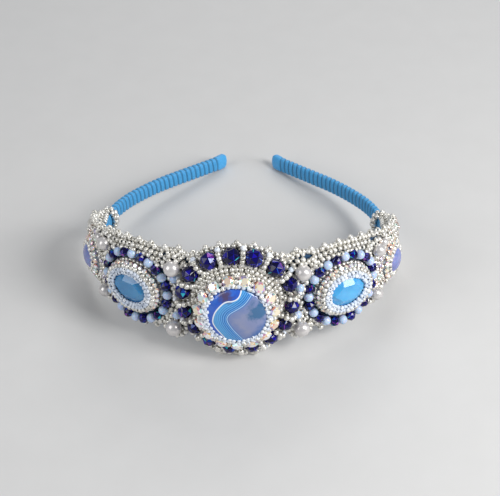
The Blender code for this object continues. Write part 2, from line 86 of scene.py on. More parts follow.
# How far the felt reaches above and below the hoop's middle line, along one half
FeltRow = namedtuple("FeltRow", "along above below")
FELT_OUTLINE = (
    FeltRow(0.0, 24.2, 24.0),
    FeltRow(7.0, 23.2, 23.7),
    FeltRow(13.0, 20.4, 19.2),
    FeltRow(18.0, 17.8, 16.2),
    FeltRow(25.0, 19.6, 16.4),
    FeltRow(31.0, 18.3, 14.8),
    FeltRow(37.0, 19.2, 15.6),
    FeltRow(44.0, 19.3, 16.2),
    FeltRow(52.0, 18.2, 14.0),
    FeltRow(59.0, 16.8, 12.0),
    FeltRow(67.0, 13.8, 11.2),
    FeltRow(74.0, 12.3, 11.5),
    FeltRow(82.0, 9.6, 9.0),
    FeltRow(90.0, 6.6, 6.0),
    FeltRow(FELT_END, 4.2, 4.2),
)

# A medallion's middle on the band, the hoop's radius there, the half sizes of the stone
# that shows or of the ring, the heights between which it stops following the bent felt,
# and how far it sags for each millimetre that it stands off the felt
Medallion = namedtuple("Medallion", "along up bend half_length half_height soft rigid sag")
CENTRE = Medallion(0.0, 0.0, 80.0, 12.6, 12.6, 5.0, 8.5, 0.14)
CUT_RING = Medallion(0.0, 1.2, 80.0, 23.4, 22.4, 5.0, 8.5, 0.0)
FLANK = Medallion(43.0, 0.0, 51.5, 9.0, 7.0, 2.6, 4.6, 0.0)
SIDE = Medallion(74.0, -1.0, 51.5, 5.3, 5.3, 1.5, 3.5, 0.0)

# The cut beads by clockwise turn from the top, in degrees: the largest are at the top
CutBead = namedtuple("CutBead", "turn diameter")
CUT_BEADS = (
    CutBead(17.5, 8.0), CutBead(43.5, 8.0), CutBead(71.0, 6.8), CutBead(99.5, 6.6),
    CutBead(121.5, 6.8), CutBead(143.0, 6.8), CutBead(165.0, 6.8), CutBead(188.0, 6.8),
    CutBead(210.5, 6.8), CutBead(232.0, 6.8), CutBead(253.0, 6.8), CutBead(277.5, 6.8),
    CutBead(303.0, 7.4), CutBead(330.5, 8.0), CutBead(355.0, 8.0),
)
CHATONS = 15
CHATON = 5.5
CHATON_RING = 16.0
CHATON_HEIGHT = 8.95
CHATON_LEAN = 38.0
RING_BEADS = 24
RING_DARK_BEAD = 4.6
RING_PALE_BEAD = 4.1
RING_HALF_LENGTH = 17.0
RING_HALF_HEIGHT = 15.8
SPARKS = 16
SPARK = 2.7
SPARK_OUT = 4.3
SPARK_HEIGHT = 3.7
SPARK_LEAN = 42.0

Ornament = namedtuple("Ornament", "name along up diameter")
PEARLS = (
    Ornament("brow_pearl_upper_left", -25.2, 14.3, 7.0),
    Ornament("brow_pearl_upper_right", 25.2, 13.2, 7.0),
    Ornament("brow_pearl_lower_left", -25.3, -15.2, 7.0),
    Ornament("brow_pearl_lower_right", 25.0, -14.4, 7.0),
    Ornament("temple_pearl_upper_left", -58.6, 13.9, 6.0),
    Ornament("temple_pearl_upper_right", 60.6, 11.4, 6.0),
    Ornament("temple_pearl_lower_left", -60.2, -10.6, 6.0),
    Ornament("temple_pearl_lower_right", 60.2, -10.4, 6.0),
    Ornament("small_pearl_left", -63.8, 14.0, 4.0),
    Ornament("small_pearl_right", 65.4, 12.4, 4.0),
)
PALE_BEADS = (
    Ornament("pale_bead_upper_left", -25.0, 8.5, 3.8),
    Ornament("pale_bead_upper_right", 24.4, 5.0, 3.8),
    Ornament("pale_bead_lower_left", -24.4, -9.4, 3.8),
    Ornament("pale_bead_lower_right", 23.6, -8.1, 3.8),
)
END_CRYSTALS = (
    Ornament("end_crystal_left", -93.0, 0.6, 4.4),
    Ornament("end_crystal_right", 93.0, 0.6, 4.4),
)

# The core and rim colours of the pale beads
PALE_OPAL = ("#c6d7ee", "#b0c6e8")

# The camera that took the photograph
CAMERA_ELEVATION = 41.4
CAMERA_YAW = 2.7
CAMERA_ROLL = -1.0
CAMERA_DISTANCE = 0.578
CAMERA_LENS = 89.3
CAMERA_AIM = Vector((0.00285, 0.00024, 0.00587))


# Colours, nodes and materials

def srgb(hex_colour):
    """An sRGB hex colour as the linear values that shaders work in."""
    parts = [int(hex_colour[i:i + 2], 16) / 255 for i in (1, 3, 5)]
    return tuple(c / 12.92 if c <= 0.04045 else ((c + 0.055) / 1.055) ** 2.4 for c in parts)


def add_node(tree, kind, inputs=None, links=None, stops=(), **settings):
    """Add a node with its settings, input values, incoming links and colour stops."""
    node = tree.nodes.new(kind)
    for name, value in settings.items():
        setattr(node, name, value)
    for name, value in (inputs or {}).items():
        node.inputs[name].default_value = value
    for name, source in (links or {}).items():
        tree.links.new(source, node.inputs[name])
    if stops:
        ramp = node.color_ramp.elements
        while len(ramp) < len(stops):
            ramp.new(1.0)
        for element, (position, colour) in zip(ramp, stops):
            element.position = position
            element.color = (*srgb(colour), 1.0)
    return node


def new_material(title, **values):
    """A Principled material and its tree; values are named for the shader's sockets."""
    material = bpy.data.materials.new(title)
    material.use_nodes = True
    shader = material.node_tree.nodes["Principled BSDF"]
    for name, value in values.items():
        socket = name.replace("_", " ").title().replace("Ior", "IOR")
        shader.inputs[socket].default_value = value
    return material, material.node_tree, shader


def ramped_material(title, source, stops, stepped=False, **values):
    """A material coloured along an attribute, or along noise of (scale, detail) on the piece."""
    material, tree, shader = new_material(title, **values)
    if isinstance(source, str):
        measure = add_node(tree, "ShaderNodeAttribute", attribute_name=source)
    else:
        coords = add_node(tree, "ShaderNodeTexCoord")
        measure = add_node(tree, "ShaderNodeTexNoise",
                           inputs={"Scale": source[0], "Detail": source[1]},
                           links={"Vector": coords.outputs["Object"]})
    colour = add_node(tree, "ShaderNodeValToRGB", links={"Fac": measure.outputs["Fac"]},
                      stops=stops)
    if stepped:
        colour.color_ramp.interpolation = "CONSTANT"
    tree.links.new(colour.outputs["Color"], shader.inputs["Base Color"])
    return material


def galvanised_seed():
    """Galvanised seed beads: a thin warm silver coat on glass, bright and a little uneven."""
    return ramped_material("galvanised_seed", "tint",
                           ((0.0, "#cfccc3"), (0.4, "#e3e0d8"), (1.0, "#f3f1eb")),
                           metallic=0.7, roughness=0.40)


def rainbow_seed():
    """Silver-lined seeds with a rainbow coat: pale, with a breath of green, peach or lilac."""
    return ramped_material("rainbow_seed", "tint",
                           ((0.0, "#bfe6dc"), (0.25, "#eef0e6"), (0.5, "#f3cfbd"),
                            (0.75, "#e9e6e0"), (1.0, "#cfc4ea")),
                           metallic=0.9, roughness=0.24)


def ice_seed():
    """Frosted ice seed beads: pale glass, soft and a little blue."""
    return ramped_material("ice_seed", "tint",
                           ((0.0, "#cfd9e8"), (0.6, "#dfe6f0"), (1.0, "#f3f6fa")),
                           roughness=0.5, ior=1.5)


def beading_thread():
    """White nylon beading thread, packed between the seeds of a wall: pale, with a sheen."""
    # The thread is 0.15 mm thick: drawn 0.5 mm apart, the finest that shows between the beads
    return ramped_material("beading_thread", (2000.0, 2.0), ((0.3, "#8793a4"), (0.7, "#bcc6d4")),
                           roughness=0.6, sheen_weight=0.3)


def cobalt_glass():
    """Fire-polished cobalt glass with a half coat: deep blue facets, a few of teal and violet."""
    return ramped_material("cobalt_glass", "flash",
                           ((0.0, "#03022c"), (0.34, "#080458"), (0.58, "#170d96"),
                            (0.72, "#05033c"), (0.88, "#4c468c"), (0.92, "#1c4cb0"),
                            (0.955, "#28b4c4"), (0.98, "#8a3aa8")),
                           stepped=True, roughness=0.07, ior=1.5, specular_ior_level=0.4)


def rainbow_crystal():
    """Foiled crystal with a rainbow coat: each facet shows its own pale or fiery colour."""
    return ramped_material("rainbow_crystal", "flash",
                           ((0.0, "#ffffff"), (0.10, "#e4f4f2"), (0.18, "#fff3d8"),
                            (0.26, "#ffffff"), (0.42, "#fbe0c8"), (0.50, "#f2a48c"),
                            (0.58, "#fff4cc"), (0.68, "#a8e2da"), (0.76, "#e4a4c8"),
                            (0.84, "#a498b4"), (0.90, "#f6c888"), (0.95, "#b6a8e6")),
                           stepped=True, metallic=0.45, roughness=0.12, coat_weight=0.5,
                           coat_roughness=0.02)


def opal_glass(name, core, rim):
    """Milky opal glass: pale inside, with a soft polish."""
    # Milky clouds 2.4 mm across, about half a bead
    return ramped_material(name, (420.0, 3.0), ((0.3, rim), (0.7, core)), roughness=0.25,
                           ior=1.5, coat_weight=0.15, subsurface_weight=0.3,
                           subsurface_scale=0.001)


def pearl_coat():
    """Glass pearls: a grey-white nacre coat, satin with a bright sheen."""
    # The nacre coat pools in patches 4 mm across
    return ramped_material("pearl_coat", (260.0, 4.0), ((0.3, "#cfcbc9"), (0.7, "#dfdbd9")),
                           roughness=0.3, metallic=0.45, coat_weight=0.5, coat_roughness=0.12)


def satin_cord(colour):
    """Rayon satin cord: fine threads and a silky sheen, with painted shade darker down between the
    turns.
    """
    material, tree, shader = new_material("satin_cord", roughness=0.5, sheen_weight=0.25,
                                          sheen_roughness=0.4)
    coords = add_node(tree, "ShaderNodeTexCoord")
    # The threads are 0.2 mm thick: a noise of scale 1 / 0.4 mm shows one every 0.2 mm
    thread = add_node(tree, "ShaderNodeTexNoise", inputs={"Scale": 2500.0, "Detail": 2.0},
                      links={"Vector": coords.outputs["Object"]})
    fray = add_node(tree, "ShaderNodeMapRange", links={"Value": thread.outputs["Fac"]},
                    inputs={"From Min": 0.3, "From Max": 0.7, "To Min": 0.82, "To Max": 1.12})
    groove = add_node(tree, "ShaderNodeAttribute", attribute_name="groove")
    # Painted shade from the groove depth: half as bright down between the turns, and a little
    # painted light on the crests
    groove_shade = add_node(tree, "ShaderNodeMapRange", links={"Value": groove.outputs["Fac"]},
                     inputs={"From Min": 0.1, "From Max": 0.8, "To Min": 1.06, "To Max": 0.5})
    value = add_node(tree, "ShaderNodeMath", operation="MULTIPLY",
                     links={0: fray.outputs["Result"], 1: groove_shade.outputs["Result"]})
    tone = add_node(tree, "ShaderNodeHueSaturation", inputs={"Color": (*colour, 1.0)},
                    links={"Value": value.outputs[0]})
    tree.links.new(tone.outputs["Color"], shader.inputs["Base Color"])
    bump = add_node(tree, "ShaderNodeBump", inputs={"Strength": 0.3, "Distance": 0.0001},
                    links={"Height": thread.outputs["Fac"]})
    tree.links.new(bump.outputs["Normal"], shader.inputs["Normal"])
    return material


def wool_felt(colour):
    """Pressed felt: matted fibres, dull and a little uneven."""
    material, tree, shader = new_material("wool_felt", roughness=0.95, sheen_weight=0.4)
    coords = add_node(tree, "ShaderNodeTexCoord")
    # Felt fibres are 0.03 mm thick: drawn as tufts 0.5 mm across, and dyed in 6 mm patches
    fibre = add_node(tree, "ShaderNodeTexNoise", inputs={"Scale": 1800.0, "Detail": 6.0},
                     links={"Vector": coords.outputs["Object"]})
    mottle = add_node(tree, "ShaderNodeTexNoise", inputs={"Scale": 160.0, "Detail": 3.0},
                      links={"Vector": coords.outputs["Object"]})
    tone = add_node(tree, "ShaderNodeMapRange", links={"Value": mottle.outputs["Fac"]},
                    inputs={"From Min": 0.3, "From Max": 0.7, "To Min": 0.75, "To Max": 1.15})
    shade = add_node(tree, "ShaderNodeHueSaturation", inputs={"Color": (*colour, 1.0)},
                     links={"Value": tone.outputs["Result"]})
    tree.links.new(shade.outputs["Color"], shader.inputs["Base Color"])
    bump = add_node(tree, "ShaderNodeBump", inputs={"Strength": 0.6, "Distance": 0.0003},
                    links={"Height": fibre.outputs["Fac"]})
    tree.links.new(bump.outputs["Normal"], shader.inputs["Normal"])
    return material


# One tint of the agate: the distance it is laid by and how far grain frays that distance,
# how often it comes again, where it is none and where it is whole, its share and its colour
AgateTint = namedtuple("AgateTint", "measure fray again none whole share colour")
ONCE = 50.0
SKY_BANDS = "#5cace2"
AGATE_TINTS = (
    # Sky-blue bands, deeper towards the pale line, with growth lines every 0.8 mm
    AgateTint("from_pale_line", 0.0, None, -6.5, -3.0, 1.0, "#4a9bdc"),
    AgateTint("from_pale_line", 0.0, None, -3.0, 0.0, 1.0, "#3a80cc"),
    AgateTint("from_pale_line", 0.6, 0.4, 0.20, 0.07, 0.8, "#2059a6"),
    AgateTint("from_pale_line", 0.6, 0.4, 0.25, 0.38, 0.6, "#84c6f4"),
    AgateTint("from_pale_line", 1.5, None, -1.4, -3.8, 0.75, "#52a4e0"),
    # The lavender heart, clouded, with a teal cloud and a deep rim
    AgateTint("from_pale_line", 0.0, None, -0.2, 1.0, 1.0, "#7082b2"),
    AgateTint("from_pale_line", 8.0, None, 5.0, 8.5, 0.8, "#8f94b0"),
    AgateTint("from_pale_line", -9.0, None, -1.0, 3.0, 0.35, "#6d7fb4"),
    AgateTint("towards_rim", 4.0, None, 10.6, 13.6, 0.9, "#2c62a6"),
    AgateTint("from_teal", -11.0, None, -0.2, -3.4, 0.9, "#25628f"),
    AgateTint("from_pale_line", 0.0, ONCE, 0.22, 0.08, 0.8, "#b4dcf8"),
    # Royal blue beyond the vein, with a brown cloud, and the vein itself
    AgateTint("from_vein", 0.0, None, 0.05, -0.05, 1.0, "#2c5ec6"),
    AgateTint("from_vein", 7.0, None, 2.5, -1.5, 0.6, "#4a82dc"),
    AgateTint("from_brown", -8.0, None, -0.5, -3.0, 0.95, "#554868"),
    AgateTint("from_vein", 0.0, ONCE, 0.34, 0.16, 1.0, "#f2f6fb"),
)


def banded_agate():
    """Polished dyed agate: a white vein, sky-blue bands, and a clouded lavender heart."""
    material, tree, shader = new_material("banded_agate", roughness=0.16, ior=1.54,
                                          coat_weight=0.25, coat_roughness=0.05)
    place = add_node(tree, "ShaderNodeAttribute", attribute_name="stone_place")
    # Distances on the stone are in millimetres: clouds are about 2.4 mm across
    grain = add_node(tree, "ShaderNodeTexNoise",
                     inputs={"Scale": 0.42, "Detail": 8.0, "Roughness": 0.6},
                     links={"Vector": place.outputs["Vector"]})
    body = None
    for tint in AGATE_TINTS:
        measure = add_node(tree, "ShaderNodeAttribute", attribute_name=tint.measure)
        value = add_node(tree, "ShaderNodeMath", operation="MULTIPLY_ADD",
                         inputs={1: tint.fray},
                         links={0: grain.outputs["Fac"], 2: measure.outputs["Fac"]})
        if tint.again:
            value = add_node(tree, "ShaderNodeMath", operation="PINGPONG",
                             inputs={1: tint.again}, links={0: value.outputs[0]})
        share = add_node(tree, "ShaderNodeMapRange", links={"Value": value.outputs[0]},
                         inputs={"From Min": tint.none, "From Max": tint.whole,
                                 "To Max": tint.share})
        # A colour mix has its share at socket 0 and its two colours at 6 and 7
        links = {0: share.outputs["Result"]}
        if body:
            links[6] = body.outputs[2]
        body = add_node(tree, "ShaderNodeMix", data_type="RGBA", links=links,
                        inputs={6: (*srgb(SKY_BANDS), 1.0), 7: (*srgb(tint.colour), 1.0)})
    tree.links.new(body.outputs[2], shader.inputs["Base Color"])
    return material


def cut_glass(name, colour, deep):
    """Polished pressed glass: clear colour with a darker heart."""
    # One or two clouds of 9 mm in the stone
    return ramped_material(name, (110.0, 2.0), ((0.35, deep), (0.65, colour)), roughness=0.08,
                           ior=1.55, coat_weight=0.3, coat_roughness=0.03,
                           subsurface_weight=0.2, subsurface_scale=0.002)


def pale_paper():
    """The studio floor: a plain matt pale sheet."""
    # Faint patches 17 mm across
    return ramped_material("pale_paper", (60.0, 4.0), ((0.0, "#cbcac8"), (1.0, "#d0cfcd")),
                           roughness=0.9)


# The hoop's line and places on the band

def hoop_point(along):
    """Place (u, v) and heading of the hoop's middle line at a signed length from the brow."""
    side = 1.0 if along >= 0 else -1.0
    left = abs(along)
    u, v, heading = 0.0, -BROW_DEPTH, 0.0
    for stretch in HOOP_PLAN:
        is_last = stretch is HOOP_PLAN[-1]
        step = left if is_last else min(left, stretch.length)
        if stretch.radius is None:
            u += step * cos(heading)
            v += step * sin(heading)
        else:
            turned = heading + step / stretch.radius
            u += stretch.radius * (sin(turned) - sin(heading))
            v += stretch.radius * (cos(heading) - cos(turned))
            heading = turned
        left -= step
        if left <= 0:
            break
    return side * u, v, side * heading


def hoop_offset(along, out, up):
    """A point `out` from the hoop's middle line and `up` from its middle plane."""
    u, v, heading = hoop_point(along)
    return Vector((u + out * sin(heading), v - out * cos(heading), up))


def on_band(along, up, height):
    """A point at a height above the felt's face."""
    return hoop_offset(along, FELT_FACE + height, up)


def settle(medallion, side, x, y, height):
    """A point of a medallion modelled flat, laid on the bent band."""
    reach = medallion.bend + FELT_FACE + height
    flat_share = (height - medallion.soft) / (medallion.rigid - medallion.soft)
    flat_share = min(max(flat_share, 0.0), 1.0)
    flat_share = flat_share * flat_share * (3 - 2 * flat_share)
    bow = reach - sqrt(reach * reach - x * x)
    along = side * medallion.along + x * medallion.bend / reach
    up = medallion.up + y - medallion.sag * height
    return on_band(along, up, height + bow * flat_share)


def local_axes(medallion, side, x, y, height):
    """Place and turn at a point of a medallion: X round the ring, Y outward, Z off the felt."""
    nudge = 0.05
    here = settle(medallion, side, x, y, height)
    spread = 1 + nudge / max(hypot(x, y), nudge)
    outward = (settle(medallion, side, x * spread, y * spread, height) - here).normalized()
    off_felt = (settle(medallion, side, x, y, height + nudge) - here).normalized()
    off_felt = (off_felt - outward * off_felt.dot(outward)).normalized()
    round_ring = outward.cross(off_felt)
    return here, Matrix((round_ring, outward, off_felt)).transposed()


def band_axes(along, up, height):
    """Place and turn on the band: X along it, Y up it, Z off the felt."""
    heading = hoop_point(along)[2]
    ahead = Vector((cos(heading), sin(heading), 0.0))
    above = Vector((0.0, 0.0, 1.0))
    turn = Matrix((ahead, above, ahead.cross(above))).transposed()
    return on_band(along, up, height), turn


def flat_length(along):
    """Length on the felt's face of a signed length along the hoop."""
    left = abs(along)
    total = 0.0
    for stretch in HOOP_PLAN[:2]:
        step = min(left, stretch.length)
        total += step * (1 + FELT_FACE / stretch.radius)
        left -= step
    return total if along >= 0 else -total


def hoop_length(flat):
    """Length along the hoop of a signed length on the felt's face."""
    left = abs(flat)
    total = 0.0
    for stretch in HOOP_PLAN[:2]:
        factor = 1 + FELT_FACE / stretch.radius
        step = min(left / factor, stretch.length)
        total += step
        left -= step * factor
    return total if flat >= 0 else -total


def hoop_plane():
    """Matrix from the hoop's plane, in millimetres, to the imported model, in metres."""
    flat = []
    laid = []
    for pearl in PEARLS:
        spot = on_band(pearl.along, pearl.up, pearl.diameter / 2 + GAP)
        corners = np.array([vert.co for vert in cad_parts[pearl.name].data.vertices])
        flat.append((spot.y, spot.z))
        laid.append(corners.mean(axis=0)[1:] / MM)
    flat = np.array(flat)
    laid = np.array(laid)
    from_flat = flat - flat.mean(axis=0)
    from_laid = laid - laid.mean(axis=0)
    cross = (from_flat[:, 0] * from_laid[:, 1] - from_flat[:, 1] * from_laid[:, 0]).sum()
    turn = Matrix.Rotation(atan2(cross, (from_flat * from_laid).sum()), 4, "X")
    moved = turn @ Vector((0.0, *flat.mean(axis=0)))
    shift = Vector((0.0, *laid.mean(axis=0))) - moved
    return Matrix.Scale(MM, 4) @ Matrix.Translation(shift) @ turn


HOOP_PLANE = hoop_plane()


# Mesh helpers

def finish_piece(bm, name, material, slot, nodes=(), smooth=True):
    """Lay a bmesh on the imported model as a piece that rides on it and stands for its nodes."""
    bmesh.ops.transform(bm, matrix=HOOP_PLANE, verts=bm.verts)
    mesh = kept_mesh(bm, name, smooth)
    mesh.materials.append(material)
    piece = bpy.data.objects.new(name, mesh)
    bpy.context.scene.collection.objects.link(piece)
    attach(piece, "root")
    if nodes:
        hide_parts(*nodes)
    return piece


def write_attribute(piece, name, values, kind="FLOAT", domain="POINT"):
    """Give a finished piece an attribute that its material reads."""
    layer = piece.data.attributes.new(name, kind, domain)
    layer.data.foreach_set("vector" if kind == "FLOAT_VECTOR" else "value", np.ravel(values))


def finish_facets(bm, name, material, slot, nodes, seed):
    """Finish a piece of cut stones, each facet with its own random flash from 0 to 1."""
    piece = finish_piece(bm, name, material, slot, nodes, smooth=False)
    flashes = np.random.default_rng(seed).random(len(piece.data.polygons))
    # Tables and flat ends have more corners than the other facets, and flash more calmly
    calm = 0.49
    flashes[[len(facet.vertices) > 4 for facet in piece.data.polygons]] *= calm
    write_attribute(piece, "flash", flashes, domain="FACE")


def add_copies(bm, mesh, places):
    """Join a copy of the mesh at each place to the bmesh."""
    for place in places:
        copy = mesh.copy()
        copy.transform(place)
        bm.from_mesh(copy)
        bpy.data.meshes.remove(copy)


def loosened(places, seed, turn):
    """The places with a little turn and shift each, as beads sewn by hand have."""
    shift = 0.09
    rng = np.random.default_rng(seed)
    result = []
    for place in places:
        nudge = Matrix.Translation(rng.normal(0, shift, 3))
        result.append(nudge @ place @ Euler(rng.normal(0, turn, 3)).to_matrix().to_4x4())
    return result


def sew_seeds(name, bead, places, material, seed, nodes=(), turn=0.28):
    """One piece of the same bead at each place, every bead with its own tint from 0 to 1."""
    bm = bmesh.new()
    add_copies(bm, bead, loosened(places, seed, turn))
    piece = finish_piece(bm, name, material, "silver_beadwork", nodes)
    tints = np.random.default_rng(seed).random(len(places))
    write_attribute(piece, "tint", np.repeat(tints, len(bead.vertices)))


def ringed_solid(sides, levels, shape):
    """A capped tube of unit circles, whose rings then take their own outline and height."""
    bm = bmesh.new()
    bmesh.ops.create_circle(bm, cap_ends=False, segments=sides, radius=1.0)
    rim = bm.edges[:]
    for _ in range(levels - 1):
        made = bmesh.ops.extrude_edge_only(bm, edges=rim)["geom"]
        rim = [part for part in made if isinstance(part, bmesh.types.BMEdge)]
        lifted = [part for part in made if isinstance(part, bmesh.types.BMVert)]
        bmesh.ops.translate(bm, vec=(0, 0, 1), verts=lifted)
    bmesh.ops.holes_fill(bm, edges=bm.edges, sides=sides)
    for vert in bm.verts:
        vert.co = shape(round(vert.co.z), atan2(vert.co.y, vert.co.x))
    bmesh.ops.recalc_face_normals(bm, faces=bm.faces)
    return bm


def turned_mesh(name, profile, steps):
    """A smooth mesh spun once round Z from a closed profile of (radius, height)."""
    bm = bmesh.new()
    verts = [bm.verts.new((radius, 0.0, height)) for radius, height in profile]
    edges = [bm.edges.new(pair) for pair in zip(verts, verts[1:] + verts[:1])]
    bmesh.ops.spin(bm, geom=verts + edges, axis=(0, 0, 1), cent=(0, 0, 0), angle=2 * pi,
                   steps=steps, use_merge=True)
    bmesh.ops.remove_doubles(bm, verts=bm.verts, dist=WELD)
    bmesh.ops.recalc_face_normals(bm, faces=bm.faces)
    return kept_mesh(bm, name)


def kept_mesh(bm, name, smooth=True):
    """A bmesh written to a mesh of its own."""
    mesh = bpy.data.meshes.new(name)
    bm.to_mesh(mesh)
    bm.free()
    mesh.polygons.foreach_set("use_smooth", [smooth] * len(mesh.polygons))
    return mesh


def faceted_mesh(bm, name):
    """A cut stone's mesh, with its facets in the same order each run."""
    sweep = Vector((1.0, 0.37, 0.141))
    bm.faces.sort(key=lambda facet: facet.calc_center_median().dot(sweep))
    return kept_mesh(bm, name, smooth=False)


def domed_stone(wall, rise, steps, sides):
    """A round stone: a wall of (radius, height) rows, and a dome of a rise on the last one."""
    rows = list(wall)
    radius, base = rows[-1]
    crown_radius = 0.05
    for step in range(1, steps + 1):
        angle = pi / 2 * step / steps
        rows.append((radius * cos(angle) + crown_radius, base + rise * sin(angle)))
    return ringed_solid(sides, len(rows), lambda level, angle: Vector(
        (rows[level][0] * cos(angle), rows[level][0] * sin(angle), rows[level][1])))


def lay_stone(bm, medallion, side):
    """Lay a stone modelled on the flat at its medallion's middle."""
    place, turn = band_axes(side * medallion.along, medallion.up, 0.0)
    bmesh.ops.transform(bm, matrix=placed(place, turn), verts=bm.verts)


def lay_wall(name, medallion, side, core, steps, thread, node):
    """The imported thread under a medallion's rows of beads, turned from a closed core."""
    longer_by = medallion.half_length - medallion.half_height
    bm = bmesh.new()
    bm.from_mesh(turned_mesh(name, core, steps))
    for vert in bm.verts:
        radius = hypot(vert.co.x, vert.co.y)
        longer = (radius + longer_by) / radius
        vert.co = settle(medallion, side, vert.co.x * longer, vert.co.y, vert.co.z)
    finish_piece(bm, name, thread, "silver_beadwork", [node])


def placed(place, turn, size=1.0):
    """A matrix from a place, a 3 by 3 turn and a size."""
    return Matrix.Translation(place) @ turn.to_4x4() @ Matrix.Scale(size, 4)


def threaded(place, thread, off, size=1.0):
    """A matrix that lays a bead's hole along the thread, with its side facing `off`."""
    hole = thread.normalized()
    side = (off - hole * off.dot(hole)).normalized()
    turn = Matrix((side, hole.cross(side), hole)).transposed()
    return placed(place, turn, size)


def oval_places(half_length, half_height, count, start=0.0):
    """Evenly spaced places (x, y) on an oval."""
    angles = np.linspace(0, 2 * pi, 721)
    x = half_length * np.cos(angles)
    y = half_height * np.sin(angles)
    travelled = np.concatenate([[0], np.cumsum(np.hypot(np.diff(x), np.diff(y)))])
    wanted = (np.arange(count) + start) / count % 1.0 * travelled[-1]
    return list(zip(np.interp(wanted, travelled, x), np.interp(wanted, travelled, y)))


# Bead meshes

def seed_bead(sizes):
    """A rounded short glass tube with its hole along Z."""
    outer = sizes.seed_bead / MM / 2
    half = outer * 0.84
    profile = ((outer, -half * 0.35), (outer, half * 0.35), (outer * 0.80, half * 0.88),
               (outer * 0.42, half * 0.84), (outer * 0.42, -half * 0.84),
               (outer * 0.80, -half * 0.88))
    return turned_mesh("seed_bead", profile, steps=10)


def cut_bead(diameter):
    """A fire-polished bead: flat ends and three rows of facets round its hole, along X."""
    rows = ((-0.90, 0.42), (-0.33, 0.95), (0.33, 0.95), (0.90, 0.42))
    radius = diameter / 2
    sides = 8

    def shape(level, angle):
        along, out = rows[level]
        turned = angle + pi / sides * (level % 2)
        return Vector((along * radius, out * radius * cos(turned), out * radius * sin(turned)))

    bm = ringed_solid(sides, len(rows), shape)
    bmesh.ops.triangulate(bm, faces=[face for face in bm.faces if len(face.verts) == 4],
                          quad_method="SHORT_EDGE")
    bmesh.ops.bevel(bm, geom=bm.edges[:], offset=0.02 * diameter, segments=1, profile=0.5,
                    affect="EDGES", material=-1)
    return faceted_mesh(bm, "cut_bead")


def round_bead(diameter):
    """A smooth round bead with a small dimple where the thread goes in, along X."""
    radius = diameter / 2
    bm = bmesh.new()
    bmesh.ops.create_uvsphere(bm, u_segments=28, v_segments=16, radius=radius)
    poles = [vert for vert in bm.verts if abs(vert.co.z) > radius * 0.999]
    bmesh.ops.scale(bm, vec=(1, 1, 0.86), verts=poles)
    bmesh.ops.rotate(bm, matrix=Matrix.Rotation(pi / 2, 3, "Y"), verts=bm.verts)
    return kept_mesh(bm, "round_bead")


def chaton(diameter):
    """A round cut stone: a table, star and kite facets, and a pointed back."""
    rows = ((-0.50, 0.34), (-0.02, 1.0), (0.28, 0.88), (0.46, 0.54))
    radius = diameter / 2
    sides = 8

    def shape(level, angle):
        height, out = rows[level]
        turned = angle + (pi / sides if level == 3 else 0.0)
        return Vector((out * radius * cos(turned), out * radius * sin(turned), height * radius))

    bm = ringed_solid(sides, len(rows), shape)
    crown = [face for face in bm.faces if max(vert.co.z for vert in face.verts) > 0.4 * radius]
    bmesh.ops.triangulate(bm, faces=[face for face in crown if len(face.verts) == 4],
                          quad_method="SHORT_EDGE")
    return faceted_mesh(bm, "chaton")


def set_chatons(name, medallion, side, rings, height, lean, seed):
    """A piece of chatons on rings of (places, size) of a medallion, leaning away from it."""
    lean_out = Matrix.Rotation(-radians(lean), 3, "X")
    bm = bmesh.new()
    for places, size in rings:
        stone = chaton(size)
        for x, y in places:
            place, turn = local_axes(medallion, side, x, y, height)
            add_copies(bm, stone, [placed(place, turn @ lean_out)])
    finish_facets(bm, name, rainbow_crystal(), "crystal", (), seed)


# Rows of beads

def ring_row(medallion, side, half_length, half_height, height, pitch, start=0.0, size=1.0,
             kept=lambda x, y: True):
    """Beads strung in an oval round a medallion, their holes along the string."""
    count = round(pi * (half_length + half_height) / pitch)
    row = []
    for x, y in oval_places(half_length, half_height, count, start):
        if kept(x, y):
            place, turn = local_axes(medallion, side, x, y, height)
            row.append(threaded(place, turn.col[0], turn.col[2], size))
    return row


def between_knots(t, width, start, end, start_slope, end_slope):
    """A smooth curve between two knots, at a share t of the width between them."""
    curve = (2 * t ** 3 - 3 * t ** 2 + 1) * start
    curve += (t ** 3 - 2 * t ** 2 + t) * width * start_slope
    curve += (3 * t ** 2 - 2 * t ** 3) * end
    curve += (t ** 3 - t ** 2) * width * end_slope
    return curve


def outline(above, spacing=0.25):
    """The felt's edge as places (flat length, up), from one end to the other."""
    rows = FELT_OUTLINE
    along = np.arange(0, FELT_END + spacing, spacing).clip(max=FELT_END)
    places = np.array([row.along for row in rows])
    heights = np.array([row.above if above else -row.below for row in rows])
    slopes = np.zeros(len(rows))
    slopes[1:-1] = (heights[2:] - heights[:-2]) / (places[2:] - places[:-2])
    slopes[-1] = (heights[-1] - heights[-2]) / (places[-1] - places[-2])
    index = (np.searchsorted(places, along, side="right") - 1).clip(max=len(rows) - 2)
    width = places[index + 1] - places[index]
    up = between_knots((along - places[index]) / width, width, heights[index],
                       heights[index + 1], slopes[index], slopes[index + 1])
    flat = np.array([flat_length(length) for length in along])
    return np.column_stack([np.concatenate([-flat[:0:-1], flat]), np.concatenate([up[:0:-1], up])])


def beside(line, distance):
    """The line moved sideways, square to itself: positive is to its left."""
    ahead = np.gradient(line, axis=0)
    ahead /= np.hypot(ahead[:, 0], ahead[:, 1])[:, None]
    return line + distance * np.column_stack([-ahead[:, 1], ahead[:, 0]])


def along_line(line, wanted):
    """Places and directions at lengths measured both ways from the line's middle."""
    travelled = np.concatenate([[0], np.cumsum(np.hypot(*np.diff(line, axis=0).T))])
    wanted = np.asarray(wanted) + np.interp(0.0, line[:, 0], travelled)
    wanted = wanted[(wanted >= 0) & (wanted <= travelled[-1])]
    nudge = 0.2
    places, after, before = (
        np.column_stack([np.interp(wanted + step, travelled, line[:, i]) for i in (0, 1)])
        for step in (0.0, nudge, -nudge))
    ahead = after - before
    ahead /= np.hypot(ahead[:, 0], ahead[:, 1])[:, None]
    return places, ahead


